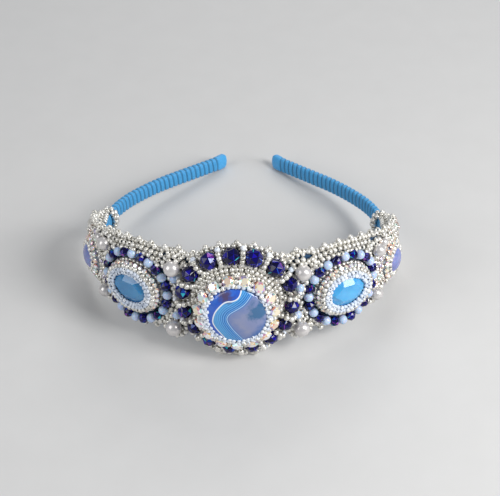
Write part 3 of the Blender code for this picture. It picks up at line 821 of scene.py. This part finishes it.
def band_bead(flat, up, height, thread, size=1.0):
    """A bead on the band whose hole runs along a direction (ahead, up) of the felt's face."""
    place, turn = band_axes(hoop_length(flat), up, height)
    hole = turn.col[0] * thread[0] + turn.col[1] * thread[1]
    return threaded(place, hole, turn.col[2], size)


def picot_lengths(reach):
    """Lengths from the middle at which the edging's picots stand."""
    half = np.arange(PICOT_PITCH + 0.8, reach, PICOT_PITCH)
    return np.concatenate([-half[::-1], [0.0], half])


# Properties

class HeadbandSizes(PropertyGroup):
    """The sizes that change how the beadwork looks."""
    seed_bead: FloatProperty(
        name="Seed bead", description="Diameter of the seed beads",
        default=2.4 * MM, min=1.0 * MM, max=4.0 * MM, unit="LENGTH", precision=5)
    cord: FloatProperty(
        name="Cord", description="Length of hoop that one turn of the satin cord covers",
        default=2.75 * MM, min=1.0 * MM, max=4.0 * MM, unit="LENGTH", precision=5)
    key_light: FloatProperty(
        name="Key light", description="Power of the large soft light",
        default=5.2, min=0.0, max=100.0, unit="POWER")


class HeadbandColours(PropertyGroup):
    """The colours of the cord and the felt."""
    cord: FloatVectorProperty(
        name="Cord", description="Colour of the satin cord", subtype="COLOR", size=3,
        min=0.0, max=1.0, default=srgb("#42a0da"))
    felt: FloatVectorProperty(
        name="Felt", description="Colour of the felt under the beads", subtype="COLOR", size=3,
        min=0.0, max=1.0, default=srgb("#1d4467"))


# Operators

class HEADBAND_OT_wind_cord(Operator):
    """Wind satin cord round the hoop from tip to tip"""
    bl_idname = "headband.wind_cord"
    bl_label = "Wind the cord"

    def execute(self, context):
        pitch = context.scene.headband_sizes.cord / MM
        levels_a_turn = 12
        levels = int(2 * HOOP_HALF / pitch * levels_a_turn) + 1
        sides = 28
        flat_out = HOOP_THICKNESS / 2 - HOOP_CORNER
        flat_up = HOOP_HEIGHT / 2 - HOOP_CORNER
        squareness_out, squareness_up = 3, 1.3
        round_end = 2.4
        smooth_end = 5.0
        deepest = 0.6
        split_share = 0.45
        bm = bmesh.new()
        groove_layer = bm.verts.layers.float.new("groove")
        bmesh.ops.create_grid(bm, x_segments=levels, y_segments=sides, size=1.0)
        for vert in bm.verts:
            along = HOOP_HALF * vert.co.x
            angle = pi * vert.co.y
            from_end = HOOP_HALF - abs(along)
            turns = pi * (along / pitch + angle / (2 * pi))
            split = split_share * (1 - abs(sin(turns))) ** 3
            groove = max(1 - abs(cos(turns)), split)
            groove *= min(max((from_end - smooth_end) / pitch, 0.0), 1.0)
            corner = HOOP_CORNER - deepest * groove
            narrow = sqrt(1 - (1 - min(max(from_end, 0.004) / round_end, 1.0)) ** 2)
            out = min(max(cos(angle) * squareness_out, -1), 1) * flat_out + corner * cos(angle)
            up = min(max(sin(angle) * squareness_up, -1), 1) * flat_up + corner * sin(angle)
            vert.co = hoop_offset(along, out * narrow, up * narrow)
            # The groove depth also darkens the cord's colour here, as painted shade
            vert[groove_layer] = groove
        bmesh.ops.remove_doubles(bm, verts=bm.verts, dist=WELD)
        bmesh.ops.holes_fill(bm, edges=bm.edges, sides=sides)
        bmesh.ops.recalc_face_normals(bm, faces=bm.faces)
        colour = tuple(context.scene.headband_colours.cord)
        finish_piece(bm, "wound_cord", satin_cord(colour), "satin_cord", ["wrapped_hoop"])
        return {"FINISHED"}


class HEADBAND_OT_cut_felt(Operator):
    """Cut the felt that the beads are sewn to and bend it round the hoop"""
    bl_idname = "headband.cut_felt"
    bl_label = "Cut the felt"

    def execute(self, context):
        top = outline(True, 1.0)
        bottom = outline(False, 1.0)
        rows = 20
        bm = bmesh.new()
        bmesh.ops.create_grid(bm, x_segments=len(top) - 1, y_segments=rows, size=1.0)
        for vert in bm.verts:
            column = round((vert.co.x + 1) / 2 * (len(top) - 1))
            share = (vert.co.y + 1) / 2
            low, high = bottom[column][1], top[column][1]
            up = low + share * (high - low)
            vert.co = on_band(hoop_length(top[column][0]), up, 0.0)
        bmesh.ops.recalc_face_normals(bm, faces=bm.faces)
        bmesh.ops.solidify(bm, geom=bm.faces[:], thickness=FELT_THICKNESS)
        bmesh.ops.recalc_face_normals(bm, faces=bm.faces)
        colour = tuple(context.scene.headband_colours.felt)
        finish_piece(bm, "felt", wool_felt(colour), "felt", ["felt_backing"])
        return {"FINISHED"}


class HEADBAND_OT_sew_edging(Operator):
    """Sew the rows of seed beads and three-bead picots along the felt's edges"""
    bl_idname = "headband.sew_edging"
    bl_label = "Sew the edging"

    def execute(self, context):
        sizes = context.scene.headband_sizes
        bead = seed_bead(sizes)
        width = sizes.seed_bead / MM
        middle_height = width / 2 - FELT_THICKNESS
        lengths = picot_lengths(flat_length(FELT_END) - 1)
        # Beads of a picot: how far beyond the edge, how much higher, and how far along from it
        picot = ((1.6, 0.3, -1.2), (1.6, 0.3, 1.2), (1.25, 0.0, PICOT_PITCH / 2), (3.1, 0.5, 0.0))
        # Rows: how far beyond the edge, how much higher, and how far they reach each way
        rows = ((0.9, -0.6, 140.0), (2.2, 1.2, 22.0), (0.4, 1.0, 31.0))
        for name, word, above in (("upper_edging", "top", True),
                                  ("lower_edging", "bottom", False)):
            sign = 1 if above else -1
            edge = outline(above)
            places = []
            for beyond, lift, from_picot in picot:
                line = beside(edge, sign * beyond)
                for spot, ahead in zip(*along_line(line, lengths + from_picot)):
                    places.append(band_bead(*spot, middle_height + lift, ahead, 1.04))
            for beyond, lift, half_reach in rows:
                line = beside(edge, sign * beyond)
                wanted = np.arange(-half_reach, half_reach, width * 0.96)
                for spot, ahead in zip(*along_line(line, wanted)):
                    places.append(band_bead(*spot, middle_height + lift, ahead, 0.9))
            sew_seeds(f"edging_beads_{word}", bead, places, galvanised_seed(), 3, [name], 0.3)
        return {"FINISHED"}


class HEADBAND_OT_sew_collars(Operator):
    """Sew two rounds of seed beads about the hoop where the felt ends"""
    bl_idname = "headband.sew_collars"
    bl_label = "Sew the end collars"

    def execute(self, context):
        sizes = context.scene.headband_sizes
        bead = seed_bead(sizes)
        width = sizes.seed_bead / MM
        silver = galvanised_seed()
        half_out = HOOP_THICKNESS / 2 + 0.1 + width / 2
        half_up = HOOP_HEIGHT / 2 + 0.1 + width / 2
        count = round(2 * pi * sqrt((half_out ** 2 + half_up ** 2) / 2) * 1.03 / width)
        squared = 1.06
        for side, word in SIDES:
            places = []
            for row in range(2):
                along = side * (FELT_END + GAP + width * (row + 0.5))
                heading = hoop_point(along)[2]
                outward = Vector((sin(heading), -cos(heading), 0.0))
                for out, up in oval_places(half_out, half_up, count, 0.5 * row):
                    off = outward * out / half_out ** 2 + Vector((0, 0, up / half_up ** 2))
                    tangent = outward * -up / half_up ** 2 + Vector((0, 0, out / half_out ** 2))
                    place = hoop_offset(along, out * squared, up)
                    places.append(threaded(place, tangent, off))
            sew_seeds(f"collar_beads_{word}", bead, places, silver, 4, [f"end_collar_{word}"],
                      0.15)
            places = []
            for out, start in ((-0.5, 91.0), (1.6, 90.0)):
                for along in np.arange(start, FELT_END - 0.5, width * 0.97):
                    place, turn = band_axes(side * along, half_up, out - FELT_FACE)
                    places.append(threaded(place, turn.col[0], turn.col[1]))
            sew_seeds(f"shoulder_beads_{word}", bead, places, silver, 7, turn=0.15)
        return {"FINISHED"}


# The agate's two lines, in shares of its visible radius, from the top edge to the bottom one
WHITE_VEIN = ((0.18, 1.15), (0.16, 0.96), (0.11, 0.83), (0.02, 0.73), (-0.12, 0.67),
              (-0.27, 0.65), (-0.41, 0.58), (-0.56, 0.42), (-0.69, 0.22), (-0.76, 0.0),
              (-0.77, -0.19), (-0.69, -0.37), (-0.56, -0.56), (-0.40, -0.80), (-0.28, -1.1))
PALE_LINE = ((0.56, 1.1), (0.52, 0.90), (0.40, 0.72), (0.24, 0.54), (0.0, 0.37),
             (-0.21, 0.22), (-0.30, 0.06), (-0.28, -0.10), (-0.17, -0.31), (-0.02, -0.54),
             (0.14, -0.76), (0.34, -1.1))


def line_distance(line, radius, places):
    """Signed distance of each place from a smooth line: positive on its left."""
    points = np.array(line) * radius
    slopes = np.gradient(points, axis=0)
    fine = np.linspace(0, len(points) - 1, 12 * len(points))
    index = np.minimum(fine.astype(int), len(points) - 2)
    smooth = between_knots((fine - index)[:, None], 1, points[index], points[index + 1],
                           slopes[index], slopes[index + 1])
    start = smooth[:-1]
    run = smooth[1:] - start
    result = []
    for place in places:
        share = ((place - start) * run).sum(axis=1) / (run * run).sum(axis=1)
        foot = start + run * share.clip(0, 1)[:, None]
        gaps = np.hypot(*(place - foot).T)
        nearest = int(np.argmin(gaps))
        off = place - foot[nearest]
        turn = run[nearest][0] * off[1] - run[nearest][1] * off[0]
        result.append(gaps[nearest] if turn > 0 else -gaps[nearest])
    return np.array(result)


class HEADBAND_OT_set_agate(Operator):
    """Set the domed agate at the brow"""
    bl_idname = "headband.set_agate"
    bl_label = "Set the agate"

    def execute(self, context):
        wall = ((14.2, GAP), (14.2, 7.4), (13.9, 8.3), (13.4, 9.1), (12.8, 9.7))
        bm = domed_stone(wall, rise=3.1, steps=20, sides=96)
        places = np.array([vert.co[:] for vert in bm.verts])
        for vert in bm.verts:
            vert.co.y -= CENTRE.sag * vert.co.z
        lay_stone(bm, CENTRE, 1)
        piece = finish_piece(bm, "agate", banded_agate(), "agate", ["agate_cabochon"])
        flat = places[:, :2]
        for name, line in (("from_vein", WHITE_VEIN), ("from_pale_line", PALE_LINE)):
            write_attribute(piece, name, line_distance(line, CENTRE.half_length, flat))
        for name, cloud in (("from_brown", (-4.4, 10.2)), ("from_teal", (8.9, 3.4))):
            write_attribute(piece, name, np.hypot(*(flat - cloud).T))
        deep_rim = np.array((0.74, -0.67))
        write_attribute(piece, "towards_rim", flat @ deep_rim)
        write_attribute(piece, "stone_place", places, kind="FLOAT_VECTOR")
        return {"FINISHED"}


class HEADBAND_OT_bead_brow(Operator):
    """Bead the wall round the agate, with its ring of rainbow crystals"""
    bl_idname = "headband.bead_brow"
    bl_label = "Bead the brow setting"

    def execute(self, context):
        bead = seed_bead(context.scene.headband_sizes)
        core = ((15.6, GAP), (15.5, 5.8), (15.0, 7.6), (14.6, 8.8), (14.45, 8.0), (14.6, GAP))
        lay_wall("brow_wall", CENTRE, 1, core, 72, beading_thread(), "rhinestone_bezel")

        # Silver rows up the wall by radius, height and start, then seeds between the crystals
        silver = []
        for radius, height, start in ((16.5, 1.3, 0.0), (16.5, 3.2, 0.5), (16.4, 5.1, 0.0),
                                      (16.2, 7.0, 0.5)):
            silver += ring_row(CENTRE, 1, radius, radius, height, 2.1, start)
        for radius, height in ((13.9, 10.1), (15.7, 9.0), (17.3, 7.4)):
            for x, y in oval_places(radius, radius, CHATONS, 0.75):
                place, turn = local_axes(CENTRE, 1, x, y, height)
                silver.append(threaded(place, turn.col[1], turn.col[2], 0.82))
        # Ice rows over the stone's rim: the second leaves the top free, the third only fills
        # the lower left, where the photograph shows more of them
        ice = ring_row(CENTRE, 1, 14.1, 14.1, 9.9, 2.1, size=0.85)
        ice += ring_row(CENTRE, 1, 13.1, 13.1, 10.1, 2.0, size=0.82, kept=lambda x, y: y < 8.5)
        ice += ring_row(CENTRE, 1, 12.1, 12.1, 10.4, 2.0, size=0.8,
                        kept=lambda x, y: 0.7 * x + y < -5.0)
        sew_seeds("brow_silver_seeds", bead, silver, galvanised_seed(), 5)
        sew_seeds("brow_ice_seeds", bead, ice, ice_seed(), 6, turn=0.6)
        ring = oval_places(CHATON_RING, CHATON_RING, CHATONS, 0.25), CHATON
        set_chatons("brow_chatons", CENTRE, 1, [ring], CHATON_HEIGHT, CHATON_LEAN, seed=6)
        return {"FINISHED"}


def on_cut_ring(turn, out=0.0):
    """A place (x, y) on the ring of cut beads, by clockwise turn in degrees from the top."""
    angle = radians(90 - turn)
    return (CUT_RING.half_length + out) * cos(angle), (CUT_RING.half_height + out) * sin(angle)


class HEADBAND_OT_ring_cut_beads(Operator):
    """Sew the ring of cut beads round the brow setting, with seed beads between them"""
    bl_idname = "headband.ring_cut_beads"
    bl_label = "Sew the cut beads"

    def execute(self, context):
        bead = seed_bead(context.scene.headband_sizes)
        bm = bmesh.new()
        for cut in CUT_BEADS:
            x, y = on_cut_ring(cut.turn)
            place = placed(*local_axes(CUT_RING, 1, x, y, cut.diameter / 2 + GAP))
            add_copies(bm, cut_bead(cut.diameter), [place])
        names = [f"cut_bead_{number + 1:02d}" for number in range(len(CUT_BEADS))]
        finish_facets(bm, "cobalt_cut_beads", cobalt_glass(), "cobalt_glass", names, seed=8)

        # A column of seeds between each two cut beads, ending in one of ice at the edge
        columns = []
        ice = []
        turns = [cut.turn for cut in CUT_BEADS] + [CUT_BEADS[0].turn + 360]
        for turn_before, turn_after in zip(turns, turns[1:]):
            for out, height in ((-3.2, 5.0), (-1.2, 6.0), (0.9, 6.0), (2.4, 5.2), (3.1, 3.0)):
                x, y = on_cut_ring((turn_before + turn_after) / 2, out)
                place, turn = local_axes(CUT_RING, 1, x, y, height)
                place = threaded(place, turn.col[1], turn.col[2])
                (ice if out > 3 else columns).append(place)
        columns += ring_row(CUT_RING, 1, 18.6, 18.4, 4.4, 2.1, kept=lambda x, y: y > -7)
        columns += ring_row(CUT_RING, 1, 16.9, 16.5, 4.8, 2.1, 0.5, kept=lambda x, y: y > 5)
        sew_seeds("column_seeds", bead, columns, galvanised_seed(), 9)
        sew_seeds("outer_ice_seeds", bead, ice, ice_seed(), 10)
        return {"FINISHED"}


class HEADBAND_OT_set_flanks(Operator):
    """Set the oval stones, bead their walls and string the rings of dark and pale beads"""
    bl_idname = "headband.set_flanks"
    bl_label = "Set the flank medallions"

    def execute(self, context):
        bead = seed_bead(context.scene.headband_sizes)
        thread = beading_thread()
        for side, word in SIDES:
            self.set_stone(side, word)
            self.bead_wall(side, word, bead, thread)
            self.string_ring(side, word)
        return {"FINISHED"}

    def set_stone(self, side, word):
        """An oval stone with a pointed table."""
        # How far each ring reaches past the stone's half sizes, and its height: the last is
        # the table, with six corners of its own
        rows = ((-0.6, GAP), (0.8, 3.6), (0.8, 4.0), (0.3, 4.7), (None, 6.8))
        sides = 12
        table = ((7.0, 0.0), (2.9, 3.5), (-2.9, 3.5), (-7.0, 0.0), (-2.9, -3.5), (2.9, -3.5))

        def shape(level, angle):
            grow, height = rows[level]
            turned = angle + pi / sides
            if grow is None:
                corner = table[round((turned - pi / sides * 0.9) / (pi / 3)) % len(table)]
                return Vector((*corner, height))
            return Vector(((FLANK.half_length + grow) * cos(turned),
                           (FLANK.half_height + grow) * sin(turned), height))

        bm = ringed_solid(sides, len(rows), shape)
        bmesh.ops.remove_doubles(bm, verts=bm.verts, dist=WELD)
        lay_stone(bm, FLANK, side)
        # The left stone gets darker colours than the right one: painted shade, as the key light
        # comes from the right
        colours = ("#4492c6", "#3078ae") if side < 0 else ("#5cb2e4", "#46a0d8")
        finish_piece(bm, f"sky_stone_{word}", cut_glass(f"sky_glass_{word}", *colours),
                     "sky_glass", [f"flank_stone_{word}"], smooth=False)

    def bead_wall(self, side, word, bead, thread):
        """Rows of ice and silver seeds on a packed wall, with small rainbow crystals."""
        length, height = FLANK.half_length, FLANK.half_height
        core = [(height + out, up) for out, up in
                ((4.2, GAP), (3.6, 2.4), (2.2, 4.2), (1.1, 5.0), (1.1, GAP))]
        lay_wall(f"flank_wall_{word}", FLANK, side, core, 64, thread, f"flank_bezel_{word}")
        ice = ring_row(FLANK, side, length + 0.3, height + 0.3, 5.7, 1.8, size=0.76)
        ice += ring_row(FLANK, side, length + 1.8, height + 1.8, 5.7, 1.8, 0.5, size=0.8)
        silver = ring_row(FLANK, side, length + 3.2, height + 3.2, 4.7, 2.1)
        silver += ring_row(FLANK, side, length + 4.5, height + 4.5, 1.3, 2.05, 0.5)
        sew_seeds(f"flank_silver_seeds_{word}", bead, silver, galvanised_seed(), 10)
        sew_seeds(f"flank_ice_seeds_{word}", bead, ice, ice_seed(), 11, turn=0.7)
        # The larger sparks are the CAD's, and the smaller ones stand between them
        rings = [(oval_places(length + SPARK_OUT, height + SPARK_OUT, SPARKS, start), size)
                 for start, size in ((0.5, SPARK), (0.0, SPARK * 0.8))]
        set_chatons(f"flank_sparks_{word}", FLANK, side, rings, SPARK_HEIGHT, SPARK_LEAN, seed=11)

    def string_ring(self, side, word):
        """Dark cut beads and pale round ones, turn about, on one thread."""
        places = []
        for x, y in oval_places(RING_HALF_LENGTH, RING_HALF_HEIGHT, RING_BEADS, 1.0):
            places.append(placed(*local_axes(FLANK, side, x, y, RING_DARK_BEAD / 2 + GAP)))
        bm = bmesh.new()
        add_copies(bm, cut_bead(RING_DARK_BEAD), places[0::2])
        finish_facets(bm, f"ring_dark_beads_{word}", cobalt_glass(), "cobalt_glass",
                      [f"flank_bead_ring_{word}"], seed=12)
        bm = bmesh.new()
        add_copies(bm, round_bead(RING_PALE_BEAD), places[1::2])
        opal = opal_glass("pale_opal", *PALE_OPAL)
        finish_piece(bm, f"ring_pale_beads_{word}", opal, "pale_opal_glass")


class HEADBAND_OT_set_sides(Operator):
    """Set the small lilac stones and bead their walls"""
    bl_idname = "headband.set_sides"
    bl_label = "Set the side medallions"

    def execute(self, context):
        bead = seed_bead(context.scene.headband_sizes)
        thread = beading_thread()
        core = ((9.0, GAP), (8.6, 1.8), (7.2, 3.6), (6.3, 3.4), (6.3, GAP))
        sparks = 18
        spark_ring = 8.1
        spark_height = 3.2
        spark_lean = 35
        for side, word in SIDES:
            bm = domed_stone(((5.9, GAP), (5.9, 3.2)), rise=3.3, steps=10, sides=48)
            lay_stone(bm, SIDE, side)
            lilac = opal_glass("lilac_opal", "#8a92c6", "#727db6")
            finish_piece(bm, f"lilac_stone_{word}", lilac, "lilac_opal", [f"side_stone_{word}"])
            lay_wall(f"side_wall_{word}", SIDE, side, core, 48, thread, f"side_bezel_{word}")
            silver = ring_row(SIDE, side, 6.5, 6.5, 3.9, 1.9)
            silver += ring_row(SIDE, side, 9.3, 9.3, 1.3, 2.0)
            sew_seeds(f"side_silver_seeds_{word}", bead, silver, galvanised_seed(), 14)
            ring = oval_places(spark_ring, spark_ring, sparks, 0.5), SPARK
            set_chatons(f"side_sparks_{word}", SIDE, side, [ring], spark_height, spark_lean,
                        seed=15)
        return {"FINISHED"}


class HEADBAND_OT_sew_pearls(Operator):
    """Sew on the pearls, the pale beads and the end crystals"""
    bl_idname = "headband.sew_pearls"
    bl_label = "Sew the pearls"

    def execute(self, context):
        for name, ornaments, material, slot in (
                ("pearls", PEARLS, pearl_coat(), "pearl"),
                ("pale_beads", PALE_BEADS, opal_glass("opal_round", *PALE_OPAL),
                 "pale_opal_glass")):
            bm = bmesh.new()
            for ornament in ornaments:
                place = band_axes(ornament.along, ornament.up, ornament.diameter / 2 + GAP)
                add_copies(bm, round_bead(ornament.diameter), [placed(*place)])
            finish_piece(bm, name, material, slot, [ornament.name for ornament in ornaments])
        bm = bmesh.new()
        for stone in END_CRYSTALS:
            place = band_axes(stone.along, stone.up, 0.27 * stone.diameter + GAP)
            add_copies(bm, chaton(stone.diameter), [placed(*place)])
        finish_facets(bm, "end_crystals", rainbow_crystal(), "crystal",
                      [stone.name for stone in END_CRYSTALS], seed=16)
        return {"FINISHED"}


def ornament_zones():
    """Ovals (flat length, up, half length, half height) of the felt that seeds keep clear of."""
    brow_wall = 17.6
    side_wall = 9.3
    end_stone = 3.0
    zones = [(0.0, 0.0, brow_wall, brow_wall)]
    face = CUT_RING.bend + FELT_FACE
    for cut in CUT_BEADS:
        x, y = on_cut_ring(cut.turn)
        shrink = face / (face + cut.diameter / 2 + GAP)
        keep = cut.diameter / 2 - 0.9
        zones.append((x * shrink, CUT_RING.up + y, keep, keep))
    for side in (-1, 1):
        zones.append((flat_length(side * FLANK.along), 0.0, RING_HALF_LENGTH + 1.5,
                      RING_HALF_HEIGHT + 1.5))
        zones.append((flat_length(side * SIDE.along), SIDE.up, side_wall, side_wall))
    for ornament in PEARLS + PALE_BEADS:
        keep = ornament.diameter / 2 - 0.2
        zones.append((flat_length(ornament.along), ornament.up, keep, keep))
    for stone in END_CRYSTALS:
        zones.append((flat_length(stone.along), stone.up, end_stone, end_stone))
    return np.array(zones)


class HEADBAND_OT_fill_felt(Operator):
    """Fill the felt between the ornaments with seed beads, in rows along both edges"""
    bl_idname = "headband.fill_felt"
    bl_label = "Fill the felt with seed beads"

    def execute(self, context):
        sizes = context.scene.headband_sizes
        bead = seed_bead(sizes)
        width = sizes.seed_bead / MM
        rng = np.random.default_rng(21)
        zones = ornament_zones()
        spots = np.zeros((0, 2))
        places = []

        def is_free(spot, spacing):
            reach = ((spot - zones[:, :2]) / zones[:, 2:]) ** 2
            if reach.sum(axis=1).min() < 1:
                return False
            return not len(spots) or np.hypot(*(spots - spot).T).min() > spacing

        def sew(spot, height, thread):
            nonlocal spots
            spots = np.vstack([spots, spot])
            places.append(band_bead(*spot, height, thread))

        # A round of seeds about each pearl, then rows along both edges
        for pearl in PEARLS + END_CRYSTALS:
            reach = pearl.diameter / 2 + 0.55 * width
            middle = flat_length(pearl.along)
            count = round(2 * pi * reach / (0.95 * width))
            for x, y in oval_places(reach, reach, count):
                spot = np.array((middle + x, pearl.up + y))
                if is_free(spot, 0.8 * width):
                    sew(spot, width * 0.6, (-y, x))
        for above in (True, False):
            sign = 1 if above else -1
            edge = outline(above)
            for row in range(4 if above else 3):
                line = beside(edge, -sign * (0.1 + row * 0.9 * width))
                wanted = (np.arange(-70, 70) + 0.5 * (row % 2)) * width * 0.95
                for spot, ahead in zip(*along_line(line, wanted)):
                    if is_free(spot, 0.82 * width) and spot[1] * sign > -1.0:
                        lift = rng.uniform(0.1, 0.9) if row else 0.0
                        sew(spot, width * 0.42 + lift, ahead)
        reach = flat_length(FELT_END)
        top = outline(True)
        bottom = outline(False)
        step = 0.3
        # Then the open felt, and the last gaps with seeds that stand a little higher
        for spacing, lift in ((0.86, 0.45), (0.66, 0.68)):
            for flat in np.arange(-reach + 1, reach - 1, step):
                high = np.interp(flat, top[:, 0], top[:, 1]) - 0.8
                low = np.interp(flat, bottom[:, 0], bottom[:, 1]) + 0.8
                for up in np.arange(low, high, step):
                    spot = np.array((flat, up))
                    if is_free(spot, spacing * width):
                        turned = rng.uniform(0, pi)
                        sew(spot, width * lift + rng.uniform(0, 0.5), (cos(turned), sin(turned)))
        is_rainbow = (np.abs(spots[:, 0]) > flat_length(61)) & (rng.random(len(spots)) < 0.45)
        for name, chosen, material in (("field_seeds", ~is_rainbow, galvanised_seed()),
                                       ("field_rainbow_seeds", is_rainbow, rainbow_seed())):
            sew_seeds(name, bead, [places[i] for i in np.flatnonzero(chosen)], material, 22)
        return {"FINISHED"}


class HEADBAND_OT_light_stage(Operator):
    """Lay a pale floor, and place soft studio lights and the camera"""
    bl_idname = "headband.light_stage"
    bl_label = "Light the stage"

    def execute(self, context):
        scene = context.scene
        bm = bmesh.new()
        bmesh.ops.create_grid(bm, x_segments=1, y_segments=1, size=3.0)
        mesh = kept_mesh(bm, "floor")
        mesh.materials.append(pale_paper())
        floor = bpy.data.objects.new("floor", mesh)
        scene.collection.objects.link(floor)

        world = bpy.data.worlds.new("studio")
        world.use_nodes = True
        daylight = world.node_tree.nodes["Background"].inputs
        daylight["Color"].default_value = (0.86, 0.91, 1.0, 1)
        daylight["Strength"].default_value = 0.26
        scene.world = world
        scene.view_settings.view_transform = "Standard"
        power = scene.headband_sizes.key_light
        for name, place, size, share in (
                ("key_softbox", (0.50, -0.32, 0.56), 0.28, 0.78),
                ("side_softbox", (0.68, -0.28, 0.33), 0.26, 0.40),
                ("fill_softbox", (-0.60, -0.35, 0.45), 0.50, 0.42),
                ("back_softbox", (0.05, 0.65, 0.55), 0.40, 0.35)):
            light = bpy.data.lights.new(name, "AREA")
            light.size = size
            light.energy = power * share
            lamp = bpy.data.objects.new(name, light)
            lamp.location = place
            lamp.rotation_euler = (-Vector(place)).to_track_quat("-Z", "Y").to_euler()
            scene.collection.objects.link(lamp)

        elevation, yaw, roll = (radians(a) for a in (CAMERA_ELEVATION, CAMERA_YAW, CAMERA_ROLL))
        back = Vector((sin(yaw) * cos(elevation), -cos(yaw) * cos(elevation), sin(elevation)))
        level = Vector((0, 0, 1)).cross(back).normalized()
        right = level * cos(roll) + back.cross(level) * sin(roll)
        camera = bpy.data.objects.new("camera", bpy.data.cameras.new("camera"))
        camera.data.sensor_width = 36.0
        camera.data.lens = CAMERA_LENS
        camera.data.clip_start = 0.01
        turn = Matrix((right, back.cross(right), back)).transposed().to_4x4()
        camera.matrix_world = Matrix.Translation(CAMERA_AIM + back * CAMERA_DISTANCE) @ turn
        scene.collection.objects.link(camera)
        scene.camera = camera
        return {"FINISHED"}


class HEADBAND_PT_panel(Panel):
    """The headband's sizes, colours and steps"""
    bl_idname = "HEADBAND_PT_panel"
    bl_label = "Beaded headband"
    bl_space_type = "VIEW_3D"
    bl_region_type = "UI"
    bl_category = "Headband"

    def draw(self, context):
        layout = self.layout
        for group in (context.scene.headband_sizes, context.scene.headband_colours):
            for name in group.__annotations__:
                layout.prop(group, name)
        for operator in OPERATORS:
            layout.operator(operator.bl_idname)


GROUPS = (HeadbandSizes, HeadbandColours)
OPERATORS = (
    HEADBAND_OT_wind_cord,
    HEADBAND_OT_cut_felt,
    HEADBAND_OT_sew_edging,
    HEADBAND_OT_sew_collars,
    HEADBAND_OT_set_agate,
    HEADBAND_OT_bead_brow,
    HEADBAND_OT_ring_cut_beads,
    HEADBAND_OT_set_flanks,
    HEADBAND_OT_set_sides,
    HEADBAND_OT_sew_pearls,
    HEADBAND_OT_fill_felt,
    HEADBAND_OT_light_stage,
)
CLASSES = GROUPS + OPERATORS + (HEADBAND_PT_panel,)


def register():
    """Make the properties, operators and panel known to Blender."""
    for item in CLASSES:
        bpy.utils.register_class(item)
    bpy.types.Scene.headband_sizes = PointerProperty(type=HeadbandSizes)
    bpy.types.Scene.headband_colours = PointerProperty(type=HeadbandColours)


def unregister():
    """Take them away again."""
    del bpy.types.Scene.headband_colours
    del bpy.types.Scene.headband_sizes
    for item in reversed(CLASSES):
        bpy.utils.unregister_class(item)


def main():
    """Dress the headband step by step."""
    register()
    for operator in OPERATORS:
        step = operator.bl_idname.split(".")[1]
        getattr(bpy.ops.headband, step)()


if __name__ == "__main__":
    main()
